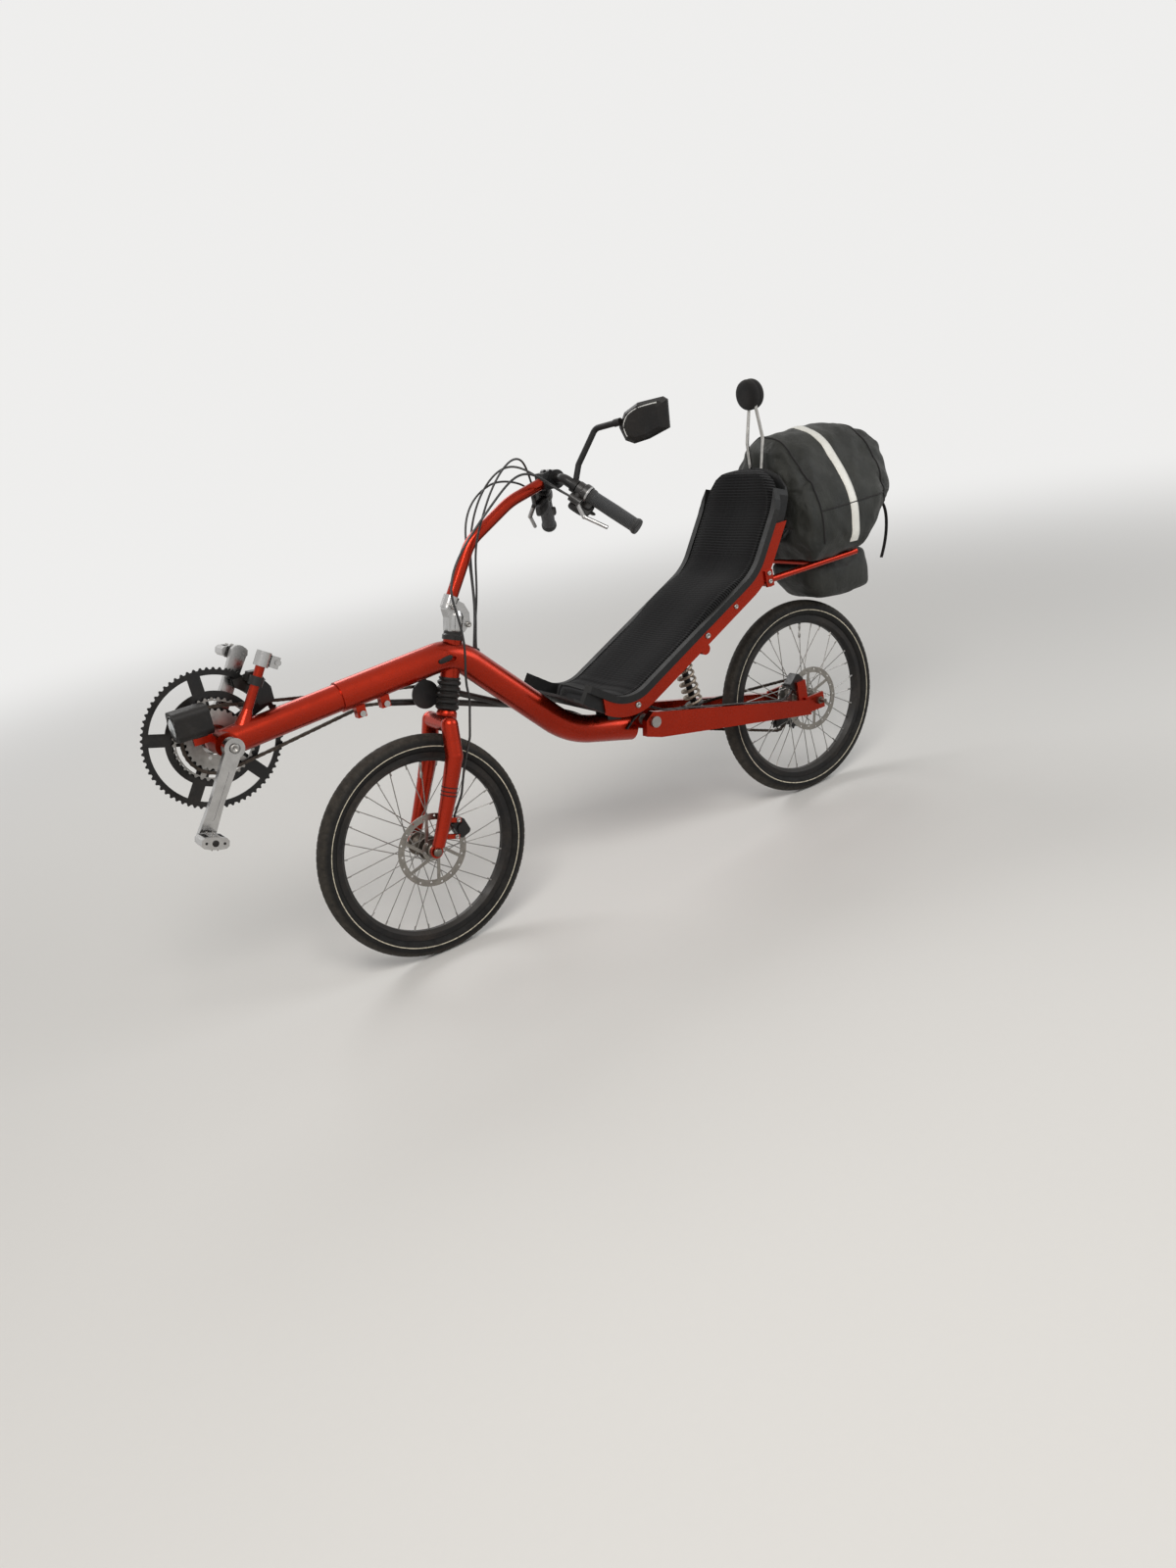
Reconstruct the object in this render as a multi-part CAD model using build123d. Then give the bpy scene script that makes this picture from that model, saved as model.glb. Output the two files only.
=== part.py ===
from build123d import *
import math
import os

# Recumbent bicycle with a boom, two small wheels in line and a handlebar above
# the seat on a tall riser. Millimetres, +X forward, +Y to the rider's left,
# +Z up. Sizes are given from the floor point under the front axle, and every
# node is moved at the end so that the origin is where the rider sits.

# Driving dimensions: stance and wheels
wheelbase = 1091.0
wheel_radius = 245.0
tyre_half_width = 21.0
rim_outer_radius = 207.0
rim_depth = 20.0
rim_inner_radius = rim_outer_radius - rim_depth
rim_half_width = 13.0
spoke_count = 32
spoke_radius = 1.1
axle_radius = 5.0
axle_play = 0.1
running_gap = 0.3

# Steering axis
head_tilt = 19.5
fork_rake = 25.5
steerer_radius = 14.3
head_tube_radius = 20.5
head_tube_bore = 17.0
head_bottom = 366.0
head_top = 445.0
headset_height = 17.0

# Frame tubes
main_tube_radius = 32.0
boom_radius = 28.5
boom_overlap = 130.0
tube_front_x = 105.0
bb_x = 355.0
bb_z = 600.0
bb_shell_radius = 24.0
bb_shell_half = 34.0
front_slope = 3.83

# Seat side curve, from the nose to the top of the back
seat_points = [(-362.0, 490.0), (-490.0, 398.0), (-915.0, 600.0), (-1008.0, 738.0), (-1042.0, 836.0)]
seat_bends = [120.0, 160.0, 200.0]
seat_half_width = 130.0
seat_wall = 6.0
seat_floor = -12.0
rail_half_height = 15.0
rail_thickness = 6.0
rail_top_z = 716.0
rail_front_x = -428.0
seat_trim_height = 16.0
seat_lip_reach = 4.0
pad_start_x = -436.0
pad_edge_height = 30.0
pad_top_height = 36.0
pad_shoulder = 30.0
# Rounded ends: part of the half width, and distance back from the tip
top_end = [(1.02, 118.0), (0.97, 80.0), (0.86, 46.0), (0.66, 20.0), (0.36, 5.0), (0.0, 0.0)]
nose_end = [(1.02, 62.0), (0.96, 34.0), (0.82, 13.0), (0.52, 3.0), (0.0, 0.0)]
# Lumbar rise on the pad: distance along the seat's straight run, and height
lumbar_rise = [(215.0, 34.0), (260.0, 42.0), (310.0, 48.0), (350.0, 50.0), (392.0, 46.0), (426.0, 38.0)]
rider_x = -520.0
rider_z = 450.0

# Drive
crank_length = 175.0
crank_angle = -56.0
pedal_eye_radius = 16.0
crank_boss_radius = 20.0
crank_waist = 26.0
crank_waist_place = 108.0
arm_face_y = 62.0
crank_thickness = 14.0
small_ring_tip = 61.5
middle_ring_tip = 83.0
large_ring_tip = 141.0
chain_pitch = 12.7
tooth_depth = 4.5
ring_thickness = 2.4
sprocket_tip = 34.0
jockey_tip = 21.0
chain_y = -40.0
return_y = -54.0
chain_half_width = 3.2
chain_half_height = 4.2
chain_rise = 4.5
chain_splice = 100.0
chain_pulley_radius = 19.5
chain_tube_radius = 7.0
front_idler_x = -97.0
front_idler_z = 552.0
rear_idler_x = -545.0
rear_idler_z = 355.0
guide_pulley_x = -wheelbase - 5.0
guide_pulley_z = wheel_radius - 73.0
tension_pulley_x = -wheelbase + 48.0
tension_pulley_z = wheel_radius - 57.0
first_pulley_x = 35.0
first_pulley_z = 548.5
# Slack run's tube: x, z from back to front
return_tube_route = [(-500.0, 362.0), (-452.0, 395.0), (-358.0, 444.0), (-113.0, 530.0), (-15.0, 558.0)]

ring_y = {"large": -53.0, "middle": -46.0, "small": chain_y}
ring_bolt_radius = 4.0
ring_bolt_circles = {"large": 55.0, "middle": 55.0, "small": 37.0}
ring_arm_count = 5
# Large ring's plain hoops: outer and inner radius
large_ring_hoops = [(95.0, 79.0), (64.0, 45.0)]
large_ring_rim = 15.0
large_ring_arm = 26.0
middle_ring_rim = 7.0
spindle_radius = 8.6
pedal_bore = 4.6
sprocket_tips = [30.0, sprocket_tip, 38.0, 42.0]
sprocket_pitch = 4.4
guard_radius = 31.0

headrest_rod_radius = 4.0
headrest_radius = 36.0
headrest_half = 21.0
headrest_x = -1070.0
headrest_z = 1000.0

# Rear arm
pivot_x = -588.0
pivot_z = 350.0
pivot_radius = 8.0
pivot_boss_radius = 22.0
pivot_boss_half = 33.0
arm_inner = 62.0
arm_width = 18.0
arm_end_x = -wheelbase + 35.0
arm_end_low = wheel_radius - 27.0
arm_end_high = wheel_radius + 11.0
dropout_thickness = 6.0
dropout_low = wheel_radius - 23.0
dropout_high = wheel_radius + 17.0
hub_half = 67.5
axle_stub = 16.0
bridge_z = 285.0
stay_points = [(-536.0, 0, 350.0), (-640.0, 0, 412.0), (-726.0, 0, 487.0)]
stay_radius = 13.0
shock_low = Vector(-766.0, 0, 312.0)
shock_high = Vector(stay_points[-1][0] - 18.0, 0, stay_points[-1][2] - 31.0)
shock_length = (shock_high - shock_low).length
shock_pin_radius = 4.0
shock_ear_y = 16.0
spring_radius = 23.0
spring_wire = 3.6
spring_turns = 6

# Wheels
flange_radius = 26.0
flange_half = 1.5
hub_barrel = 15.0
hub_waist = 12.0
spoke_cross = 62.0
rotor_radius = 80.0
rotor_band = 14.0
caliper_reach = 77.0
caliper_width = 26.0
caliper_length = 40.0
front_rotor_y = 36.0
rear_rotor_y = 46.0
front_flanges = (19.0, -30.0)
rear_flanges = (30.0, -16.0)

# Fork
fork_half = 50.0
leg_y = 58.0
crown_low = 256.0
crown_top = 284.0
crown_radius = 22.0
crown_bar_radius = 17.5
steerer_top = head_top + 45.0
# A leg's middle line: in front, beside and up the steering axis, and its radius
leg_stations = [(14.0, 44.0, 269.0, 18.4), (4.0, leg_y, 205.0, 18.9), (11.0, leg_y, 111.0, 16.5),
                (18.0, leg_y, 48.0, 14.6), (24.0, leg_y, 12.0, 13.4)]
leg_grooves = [130.0, 139.0]

# Cockpit
riser_points = [(-180.0, 0, 726.0), (-262.0, 0, 843.0), (-375.0, 0, 902.0), (-474.0, 0, 925.0)]
riser_radius = 12.7
bar_radius = 11.1
bar_x = -490.0
bar_z = 925.0
bar_knee_y = 46.0
bar_end = (-565.0, 176.0, 806.0)
grip_length = 122.0
grip_radius = 15.5
mirror_place = 162.0
mirror_elbow = (-560.0, 94.0, 1014.0)
mirror_arm_end = (-577.0, 143.0, 1019.0)
# Mirror housing: along its length from the middle, and height
mirror_outline = [(-60.0, -6.0), (-42.0, 22.0), (-8.0, 37.0), (50.0, 41.0), (60.0, 34.0), (55.0, -22.0), (4.0, -38.0),
                  (-30.0, -43.0), (-50.0, -34.0)]

# Frame details: the boom's clamp bolts and the cable slot's ends, as x, z
boom_bolt_places = [(11.0, 573.0), (67.0, 569.0)]
boom_bolt_radius = 3.0
cable_slot = [(-152.0, 624.0), (-118.0, 626.5)]
cable_slot_half = 4.5
front_bend = 100.0
low_bend = 200.0
post_foot = (312.0, 0, 612.0)
post_top = (228.0, 0, 742.0)
post_radius = 9.5
post_clamp_radius = 15.0
hose_radius = 2.5

# Bag and rack
rack_radius = 8.0
rack_z = 588.0
rack_half = 110.0
rack_front_x = -933.0
cross_bar_radius = rack_radius - 1.5
bag_mid_x = -wheelbase - 109.0
bag_bottom = rack_z + rack_radius + running_gap
# Side view: x from the bag's middle, and height above its bottom
bag_side = [(112.0, 284.0), (95.0, 300.0), (0.0, 307.0), (-90.0, 297.0), (-145.0, 266.0), (-178.0, 204.0),
            (-185.0, 144.0), (-165.0, 104.0), (-126.0, 94.0), (-83.0, 44.0), (-40.0, 0.0), (125.0, 0.0),
            (140.0, 44.0), (136.0, 164.0)]
# Rear view, one half: width from the middle, and height above its bottom
bag_half_section = [(0.0, 308.0), (45.0, 289.0), (72.0, 255.0), (104.0, 208.0), (131.0, 172.0), (157.0, 132.0),
                    (165.0, 102.0), (160.0, 55.0), (152.0, 20.0), (140.0, -1.0), (0.0, -1.0)]
# Top view, one half: x from the bag's middle, and width
bag_half_plan = [(150.0, 125.0), (126.0, 170.0), (-92.0, 170.0), (-142.0, 148.0), (-174.0, 105.0), (-190.0, 50.0)]
# Pouch under the tail: x from the bag's middle, and height above the bag's bottom
pouch_side = [(92.0, 0.0), (86.0, -46.0), (42.0, -93.0), (-37.0, -103.0), (-125.0, -98.0), (-128.0, -25.0), (-122.0, 0.0)]
pouch_half = 78.0


def rad(angle):
    return math.radians(angle)


def y_rod(radius, x, z, y0, y1):
    """Round bar along Y between two side positions."""
    rod = Cylinder(radius, abs(y1 - y0), rotation=(90, 0, 0))
    return Pos(x, (y0 + y1) / 2.0, z) * rod


def rod_between(start, end, radius, sides=0):
    """Straight bar from one point to another, round or with flat sides."""
    a = Vector(*start)
    b = Vector(*end)
    base = Plane(origin=a, z_dir=b - a)
    section = base * (RegularPolygon(radius, sides) if sides else Circle(radius))
    return extrude(section, amount=(b - a).length, dir=b - a)


def tapered_rod(start, end, r0, r1):
    """Straight bar whose radius runs from r0 at its start to r1 at its end."""
    a = Vector(*start)
    b = Vector(*end)
    place = Plane(origin=(a + b) * 0.5, z_dir=b - a).location
    return place * Cone(r0, r1, (b - a).length)


def bent_tube(points, bends, radius):
    """Round tube along straight runs joined by tangent arcs."""
    path = FilletPolyline(*points, radius=bends)
    return sweep(Plane(origin=path @ 0, z_dir=path % 0) * Circle(radius), path=path)


def lathe(profile, place):
    """Solid turned about a place's Z axis from (radius, height) points."""
    face = make_face(Polyline(*[(r, 0, h) for r, h in profile], close=True))
    return place * revolve(face, axis=Axis.Z, revolution_arc=360)


def y_lathe(profile, x, z):
    """Solid turned about a line along Y from (radius, y) points."""
    return lathe(profile, Pos(x, 0, z) * Rot(-90, 0, 0))


def side_plate(points, y0, y1):
    """Plate between two side positions from its (x, z) outline."""
    face = make_face(Polyline(*[(x, y0, z) for x, z in points], close=True))
    return extrude(face, amount=abs(y1 - y0), dir=(0, 1 if y1 > y0 else -1, 0))


def seat_band(width, low, high, y=0.0):
    """Strip that follows the seat's side curve, between two heights above it."""
    path = FilletPolyline(*[(x, 0, z) for x, z in seat_points], radius=seat_bends)
    base = Plane(origin=path @ 0, x_dir=(0, -1, 0), z_dir=path % 0)
    section = base * Pos(-y, (low + high) / 2.0) * Rectangle(width, high - low)
    return sweep(section, path=path)


def seat_sweep(outline):
    """Closed outline of (side, height) points carried along the seat's side curve."""
    path = FilletPolyline(*[(x, 0, z) for x, z in seat_points], radius=seat_bends)
    base = Plane(origin=path @ 0, x_dir=(0, -1, 0), z_dir=path % 0)
    section = base * make_face(Polyline(*[(-y, h) for y, h in outline], close=True))
    return sweep(section, path=path)


def seat_end(tip, inner, half, corners, back):
    """Prism that keeps what lies inside a rounded end of the seat.

    tip and inner are (x, z) points that give the end and the way to it, and
    back moves the end's curve away from the tip.
    """
    along = Vector(tip[0] - inner[0], 0, tip[1] - inner[1]).normalized()
    base = Plane(origin=(tip[0], 0, tip[1]), x_dir=(0, 1, 0), z_dir=(along.Z, 0, -along.X))
    reach = 5.0 * half
    right = [(2.0 * half, -10.0 * half), (2.0 * half, -reach)]
    right += [(part * half, -distance - back) for part, distance in corners]
    outline = right + [(-y, d) for y, d in reversed(right[:-1])]
    return extrude(base * make_face(Polyline(*outline, close=True)), amount=8.0 * half, both=True)


def solid_box(x0, x1, y0, y1, z0, z1):
    return Pos((x0 + x1) / 2.0, (y0 + y1) / 2.0, (z0 + z1) / 2.0) * Box(x1 - x0, y1 - y0, z1 - z0)


def rod_plate(x0, z0, x1, z1, radius, y0, y1):
    """Flat plate with round ends between two points."""
    length = math.hypot(x1 - x0, z1 - z0)
    angle = math.degrees(math.atan2(z1 - z0, x1 - x0))
    bar = Pos(length / 2.0, 0, 0) * Box(length, y1 - y0, 2 * radius)
    bar = Pos(x0, (y0 + y1) / 2.0, z0) * Rot(0, -angle, 0) * bar
    return bar + y_rod(radius, x0, z0, y0, y1) + y_rod(radius, x1, z1, y0, y1)


def toothed_disc(tip, bore, x, z, y0, y1):
    """Chain wheel: four outline points a tooth, as many teeth as fit the pitch."""
    teeth = round(2 * math.pi * (tip - tooth_depth + 1.0) / chain_pitch)
    step = 2 * math.pi / teeth
    points = []
    for i in range(teeth):
        for part, radius in ((-0.34, tip - tooth_depth), (-0.10, tip), (0.10, tip), (0.34, tip - tooth_depth)):
            angle = step * (i + part)
            points.append((x + radius * math.cos(angle), z + radius * math.sin(angle)))
    return side_plate(points, y0, y1) - y_rod(bore, x, z, y0 - 1.0, y1 + 1.0)


def coil(place, radius, wire, height, turns):
    """Wire coil of flat facets: rings of points along a helix, joined by triangles."""
    steps = 16
    sides = 6
    count = turns * steps
    lowest = wire * math.sin(rad(60.0))
    rings = []
    for i in range(count + 1):
        a = 2 * math.pi * i / steps
        rise = lowest + (height - 2 * lowest) * i / count
        ring = []
        for j in range(sides):
            b = 2 * math.pi * j / sides
            reach = radius + wire * math.cos(b)
            ring.append((reach * math.cos(a), reach * math.sin(a), rise + wire * math.sin(b)))
        rings.append(ring)
    faces = [make_face(Polyline(*rings[0], close=True)), make_face(Polyline(*rings[-1], close=True))]
    for near, far in zip(rings[:-1], rings[1:]):
        for j in range(sides):
            k = (j + 1) % sides
            faces.append(make_face(Polyline(near[j], near[k], far[k], close=True)))
            faces.append(make_face(Polyline(near[j], far[k], far[j], close=True)))
    return place * Solid(Shell(faces))


def drafted(outline, levels):
    """Solid of flat faces: one outline at several heights, each time scaled by a share."""
    layers = [[(u * share, v * share, height) for u, v in outline] for height, share in levels]
    faces = [make_face(Polyline(*layers[0], close=True)), make_face(Polyline(*layers[-1], close=True))]
    for low, high in zip(layers[:-1], layers[1:]):
        for i in range(len(outline)):
            k = (i + 1) % len(outline)
            faces.append(make_face(Polyline(low[i], low[k], high[k], high[i], close=True)))
    return Solid(Shell(faces))


axle_front = Vector(0, 0, wheel_radius)
axle_rear = Vector(-wheelbase, 0, wheel_radius)
steer_up = Vector(-math.sin(rad(head_tilt)), 0, math.cos(rad(head_tilt)))
steer_fore = Vector(math.cos(rad(head_tilt)), 0, math.sin(rad(head_tilt)))
steer_foot = axle_front - steer_fore * fork_rake
steer_frame = Plane(origin=steer_foot, x_dir=steer_fore, z_dir=steer_up).location


def on_steer(n, y, s):
    """Point given by its place in front of, beside and up the steering axis."""
    return steer_foot + steer_fore * n + Vector(0, y, 0) + steer_up * s


# Frame

front_dir = Vector(-math.cos(rad(front_slope)), 0, math.sin(rad(front_slope)))
boom_axis_end = Vector(bb_x, 0, bb_z - 3.0)
tube_front = boom_axis_end + front_dir * ((bb_x - tube_front_x) / math.cos(rad(front_slope)))
tube_bend = boom_axis_end + front_dir * 523.6
tube_low = Vector(-408.0, 0, 377.0)
tube_end = Vector(-572.0, 0, 333.0)


def boom_solid(radius, reach):
    end = tube_front + front_dir * reach
    return rod_between(tuple(boom_axis_end), tuple(end), radius)


def main_tube():
    """Bent main tube with the head tube, the rear arm's boss, clamp lugs and a cable slot."""
    points = [tuple(p) for p in (tube_front, tube_bend, tube_low, tube_end)]
    tube = bent_tube(points, [front_bend, low_bend], main_tube_radius)
    head_middle = steer_frame * Pos(0, 0, (head_bottom + head_top) / 2.0)
    head = head_middle * Cylinder(head_tube_radius, head_top - head_bottom)
    pivot_boss = y_rod(pivot_boss_radius, pivot_x, pivot_z, -pivot_boss_half, pivot_boss_half)
    body = tube + head + pivot_boss
    for x, z in boom_bolt_places:
        lug = solid_box(x - 10.0, x + 10.0, -9.0, 9.0, z - 8.0, z + 24.0)
        body = body + lug
    for x, z in boom_bolt_places:
        body = body - y_rod(boom_bolt_radius + axle_play, x, z, -40.0, 40.0)
    (x0, z0), (x1, z1) = cable_slot
    body = body - rod_plate(x0, z0, x1, z1, cable_slot_half, main_tube_radius - 8.0, main_tube_radius + 8.0)
    body = body - head_middle * Cylinder(head_tube_bore, head_top - head_bottom + 60.0)
    body = body - boom_solid(boom_radius, boom_overlap)
    return body - y_rod(pivot_radius + axle_play, pivot_x, pivot_z, -60.0, 60.0)


def headset():
    """Bearing cup with a tapered cap above the head tube, and the lower cup."""
    bore = steerer_radius + axle_play
    cup = 23.0
    cap = 20.5
    high = head_top + headset_height
    upper = [(bore, head_top), (cup, head_top), (cup, head_top + 9.0), (cap, head_top + 12.0), (cap, high), (bore, high)]
    lower = [(bore, head_bottom - 4.0), (cup, head_bottom - 4.0), (cup, head_bottom), (bore, head_bottom)]
    return Compound([lathe(upper, steer_frame), lathe(lower, steer_frame)])


def post_rod():
    return rod_between(post_foot, post_top, post_radius)


def boom():
    """Boom tube with the crank bearing's shell, the derailleur post on a flared foot and the lamp's tab."""
    tube = boom_solid(boom_radius, boom_overlap)
    shell = y_rod(bb_shell_radius, bb_x, bb_z, -bb_shell_half, bb_shell_half)
    along = (Vector(*post_top) - Vector(*post_foot)).normalized()
    foot = Vector(*post_foot)
    flare = tapered_rod(tuple(foot + along * 6.0), tuple(foot + along * 42.0), post_radius + 8.0, post_radius + 0.2)
    tab = solid_box(bb_x + 14.0, bb_x + 52.0, -4.0, 4.0, bb_z + 10.0, bb_z + 24.0)
    body = tube + shell + post_rod() + flare + tab
    bore = y_rod(spindle_radius + axle_play, bb_x, bb_z, -60.0, 60.0)
    return body - bore


def boom_bolts():
    bolts = []
    for x, z in boom_bolt_places:
        shank = y_rod(boom_bolt_radius, x, z, -14.0, 14.0)
        bolts.append(shank + y_rod(6.5, x, z, 9.0, 15.0))
    return Compound(bolts)


def post_clamp():
    """Clamp ring on the post's top with a split ear and its bolt boss."""
    a = Vector(*post_top)
    d = (a - Vector(*post_foot)).normalized()
    low = a - d * 26.0
    ring = rod_between(tuple(low), tuple(a + d * 4.0), post_clamp_radius)
    ear = Pos(a.X - 14.0, 0, a.Z - 22.0) * Rot(0, -33.0, 0) * Box(18.0, 14.0, 24.0)
    boss = y_rod(6.0, a.X - 19.0, a.Z - 24.0, -11.0, 11.0)
    return (ring + ear + boss) - post_rod()


def front_derailleur():
    """Band clamp on the post, body beside it and a cage of two curved plates."""
    along = (Vector(*post_top) - Vector(*post_foot)).normalized()
    band_foot = Vector(*post_foot) + along * 90.0
    band = rod_between(tuple(band_foot), tuple(band_foot + along * 18.0), post_radius + 5.0) - post_rod()
    body = side_plate([(236.0, 690.0), (262.0, 684.0), (272.0, 698.0), (264.0, 714.0), (246.0, 712.0)], chain_y + 8.0, -10.0)
    body = body - post_rod()
    cage_outer = 150.0
    cage_inner = 108.0
    half = 6.5
    cage = None
    for y in (chain_y - half, chain_y + half - 1.2):
        plate = y_rod(cage_outer, bb_x, bb_z, y, y + 1.2) - y_rod(cage_inner, bb_x, bb_z, y - 1.0, y + 3.0)
        plate = plate & solid_box(222.0, 292.0, y - 1.0, y + 3.0, 640.0, 704.0)
        cage = plate if cage is None else cage + plate
    top = y_rod(cage_outer, bb_x, bb_z, chain_y - half, chain_y + half)
    top = top - y_rod(cage_outer - 2.5, bb_x, bb_z, -90.0, 0.0)
    top = top & solid_box(222.0, 292.0, -90.0, 0.0, 640.0, 704.0)
    arm = solid_box(244.0, 262.0, chain_y + half - 1.2, chain_y + 9.0, 670.0, 710.0)
    return band + body + cage + top + arm


def lamp():
    """Lamp housing with a round recess for the lens, on a short foot."""
    x0 = bb_x + 13.0
    x1 = bb_x + 82.0
    z0 = bb_z + 27.0
    z1 = bb_z + 85.0
    body = solid_box(x0, x1, -27.0, 27.0, z0, z1)
    body = fillet(body.edges().filter_by(Axis.X), 14.0)
    lens = Pos(x1, 0, (z0 + z1) / 2.0) * Rot(0, 90, 0) * Cylinder(21.0, 8.0)
    foot = solid_box(bb_x + 24.0, bb_x + 46.0, -8.0, 8.0, bb_z + 24.0, z0 + 3.0)
    return body + foot - lens


# Seat

def seat_shell():
    """Glass shell: a floor with upright edges that turn out over the rails, rounded at both ends."""
    inner = seat_half_width - seat_wall
    lip = seat_half_width + rail_thickness + seat_lip_reach
    low = rail_half_height + running_gap
    top = low + seat_trim_height
    half = [(0.0, seat_floor), (seat_half_width, seat_floor), (seat_half_width, low), (lip, low), (lip, top),
            (inner, top), (inner, seat_floor + seat_wall), (0.0, seat_floor + seat_wall)]
    outline = half + [(-y, h) for y, h in reversed(half[1:-1])]
    body = seat_sweep(outline)
    body = body & seat_end(seat_points[-1], seat_points[-2], lip, top_end, 0.0)
    return body & seat_end(seat_points[0], seat_points[1], lip, nose_end, 0.0)


def seat_rails():
    rails = []
    for side in (-1, 1):
        y = side * (seat_half_width + rail_thickness / 2.0)
        rail = seat_band(rail_thickness, -rail_half_height, rail_half_height, y)
        rail = rail - solid_box(-1200, 0, -300, 300, rail_top_z, 1200)
        rails.append(rail - solid_box(rail_front_x, 0, -300, 300, 0, 1200))
    return Compound(rails)


def seat_pad():
    """Mesh cushion in the shell with a rise for the small of the back, rounded at the top."""
    half = seat_half_width - seat_wall - running_gap
    low = seat_floor + seat_wall + running_gap
    edge = half - pad_shoulder
    outline = [(-half, low), (half, low), (half, pad_edge_height), (edge, pad_top_height), (-edge, pad_top_height),
               (-half, pad_edge_height)]
    pad = seat_sweep(outline)
    start = Vector(seat_points[1][0], 0, seat_points[1][1])
    along = (Vector(seat_points[2][0], 0, seat_points[2][1]) - start).normalized()
    out = Vector(along.Z, 0, -along.X)
    rise = [(lumbar_rise[0][0], 15.0)] + lumbar_rise + [(lumbar_rise[-1][0], 15.0)]
    corners = [start + along * t + out * h for t, h in rise]
    pad = pad + side_plate([(p.X, p.Z) for p in corners], -edge, edge)
    pad = pad & seat_end(seat_points[-1], seat_points[-2], half, top_end, 5.0)
    return pad - solid_box(pad_start_x, 0, -300, 300, 0, 1200)


def seat_block():
    """Block that carries the seat's front on the main tube."""
    block = solid_box(-535.0, -500.0, -24.0, 24.0, 350.0, 420.0)
    return block - main_tube() - seat_band(2 * seat_half_width, seat_floor, 60.0)


def seat_stay():
    """Upright from the main tube's tail to a cross tube between the rails, with the damper's ears."""
    stay = bent_tube(stay_points, [120.0], stay_radius)
    end = stay_points[-1]
    cross = y_rod(stay_radius, end[0], end[2], -seat_half_width, seat_half_width)
    body = stay + cross
    for side in (-1, 1):
        y = side * shock_ear_y
        ear = solid_box(shock_high.X - 11.0, end[0], y - 4.0, y + 4.0, shock_high.Z - 11.0, end[2])
        body = body + ear
    body = body - y_rod(shock_pin_radius + axle_play, shock_high.X, shock_high.Z, -40.0, 40.0)
    return body - main_tube() - seat_band(2 * seat_half_width + 40.0, seat_floor, 60.0)


def headrest_rods():
    """Two bent rods from the back of the shell up to the pad."""
    rods = []
    top = headrest_z
    for y, knee, neck in ((-20.0, (-1058.0, 890.0), (-1078.0, 965.0)), (20.0, (-1074.0, 895.0), (-1066.0, 965.0))):
        points = [(-1034.6, y, 764.7), (-1057.6, y, 830.7), (knee[0], y, knee[1]), (neck[0], y, neck[1]), (neck[0], y, top)]
        rods.append(bent_tube(points, [20.0, 20.0, 20.0], headrest_rod_radius))
    return Compound(rods)


def headrest_pad():
    """Round cushion that faces forward."""
    r = headrest_radius
    h = headrest_half
    half = [(r - 9.0, h), (r - 2.5, h - 6.0), (r, h - 14.0)]
    profile = [(0.0, h)] + half + [(x, -y) for x, y in reversed(half)] + [(0.0, -h)]
    pad = lathe(profile, Pos(headrest_x, 0, headrest_z) * Rot(0, 90, 0))
    return pad - headrest_rods()


def bag():
    """Tent-shaped bag: what its side, rear and top outlines have in common."""
    side = side_plate([(bag_mid_x + x, bag_bottom + h) for x, h in bag_side], -200.0, 200.0)
    right = [(y, bag_bottom + h) for y, h in bag_half_section]
    section = right + [(-y, z) for y, z in reversed(right[1:-1])]
    front = bag_mid_x + 200.0
    across = extrude(make_face(Polyline(*[(front, y, z) for y, z in section], close=True)), amount=450.0, dir=(-1, 0, 0))
    left = [(bag_mid_x + x, y) for x, y in bag_half_plan]
    plan = left + [(x, -y) for x, y in reversed(left)]
    upright = extrude(make_face(Polyline(*[(x, y, 400.0) for x, y in plan], close=True)), amount=800.0, dir=(0, 0, 1))
    return side & across & upright


def bag_flap():
    """Rain pouch that hangs under the rack's tail."""
    drop = cross_bar_radius + rack_radius + 2 * running_gap
    points = [(bag_mid_x + x, bag_bottom - drop + h) for x, h in pouch_side]
    return side_plate(points, -pouch_half, pouch_half)


def rack():
    """Two tubes from a bar between the rails to the bag, with cross bars and bolted ears."""
    body = None
    tail = bag_mid_x - 40.0
    for side in (-1, 1):
        tube = rod_between((rack_front_x, side * rack_half, rack_z), (tail, side * rack_half, rack_z), rack_radius)
        body = tube if body is None else body + tube
    for x in (bag_mid_x + 84.0, tail + cross_bar_radius + 1.5):
        body = body + y_rod(cross_bar_radius, x, rack_z, -rack_half, rack_half)
    outer = seat_half_width + rail_thickness
    ear = 5.0
    body = body + y_rod(rack_radius + 1.0, rack_front_x, rack_z, -outer - ear, outer + ear)
    for side in (-1, 1):
        y0 = min(side * outer, side * (outer + ear))
        body = body + solid_box(rack_front_x - 11.0, rack_front_x + 11.0, y0, y0 + ear, rack_z - 8.0, rack_z + 30.0)
    return body


# Rear arm

def arm_side(side):
    """One arm: a tapered box plate at its pivot, straight to the dropout plate."""
    heel = pivot_x - 15.0
    points = [(pivot_x + 28.0, pivot_z - 28.0), (pivot_x + 22.0, pivot_z + 8.0), (pivot_x, pivot_z + 24.0),
              (heel - 3.0, pivot_z + 18.0), (arm_end_x, arm_end_high), (arm_end_x, arm_end_low), (heel + 3.0, pivot_z - 42.0)]
    body = side_plate(points, side * arm_inner, side * (arm_inner + arm_width))
    y0 = side * hub_half
    y1 = side * (hub_half + dropout_thickness)
    plate = solid_box(axle_rear.X - 18.0, arm_end_x + 6.0, min(y0, y1), max(y0, y1), dropout_low, dropout_high)
    return body + plate


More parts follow.
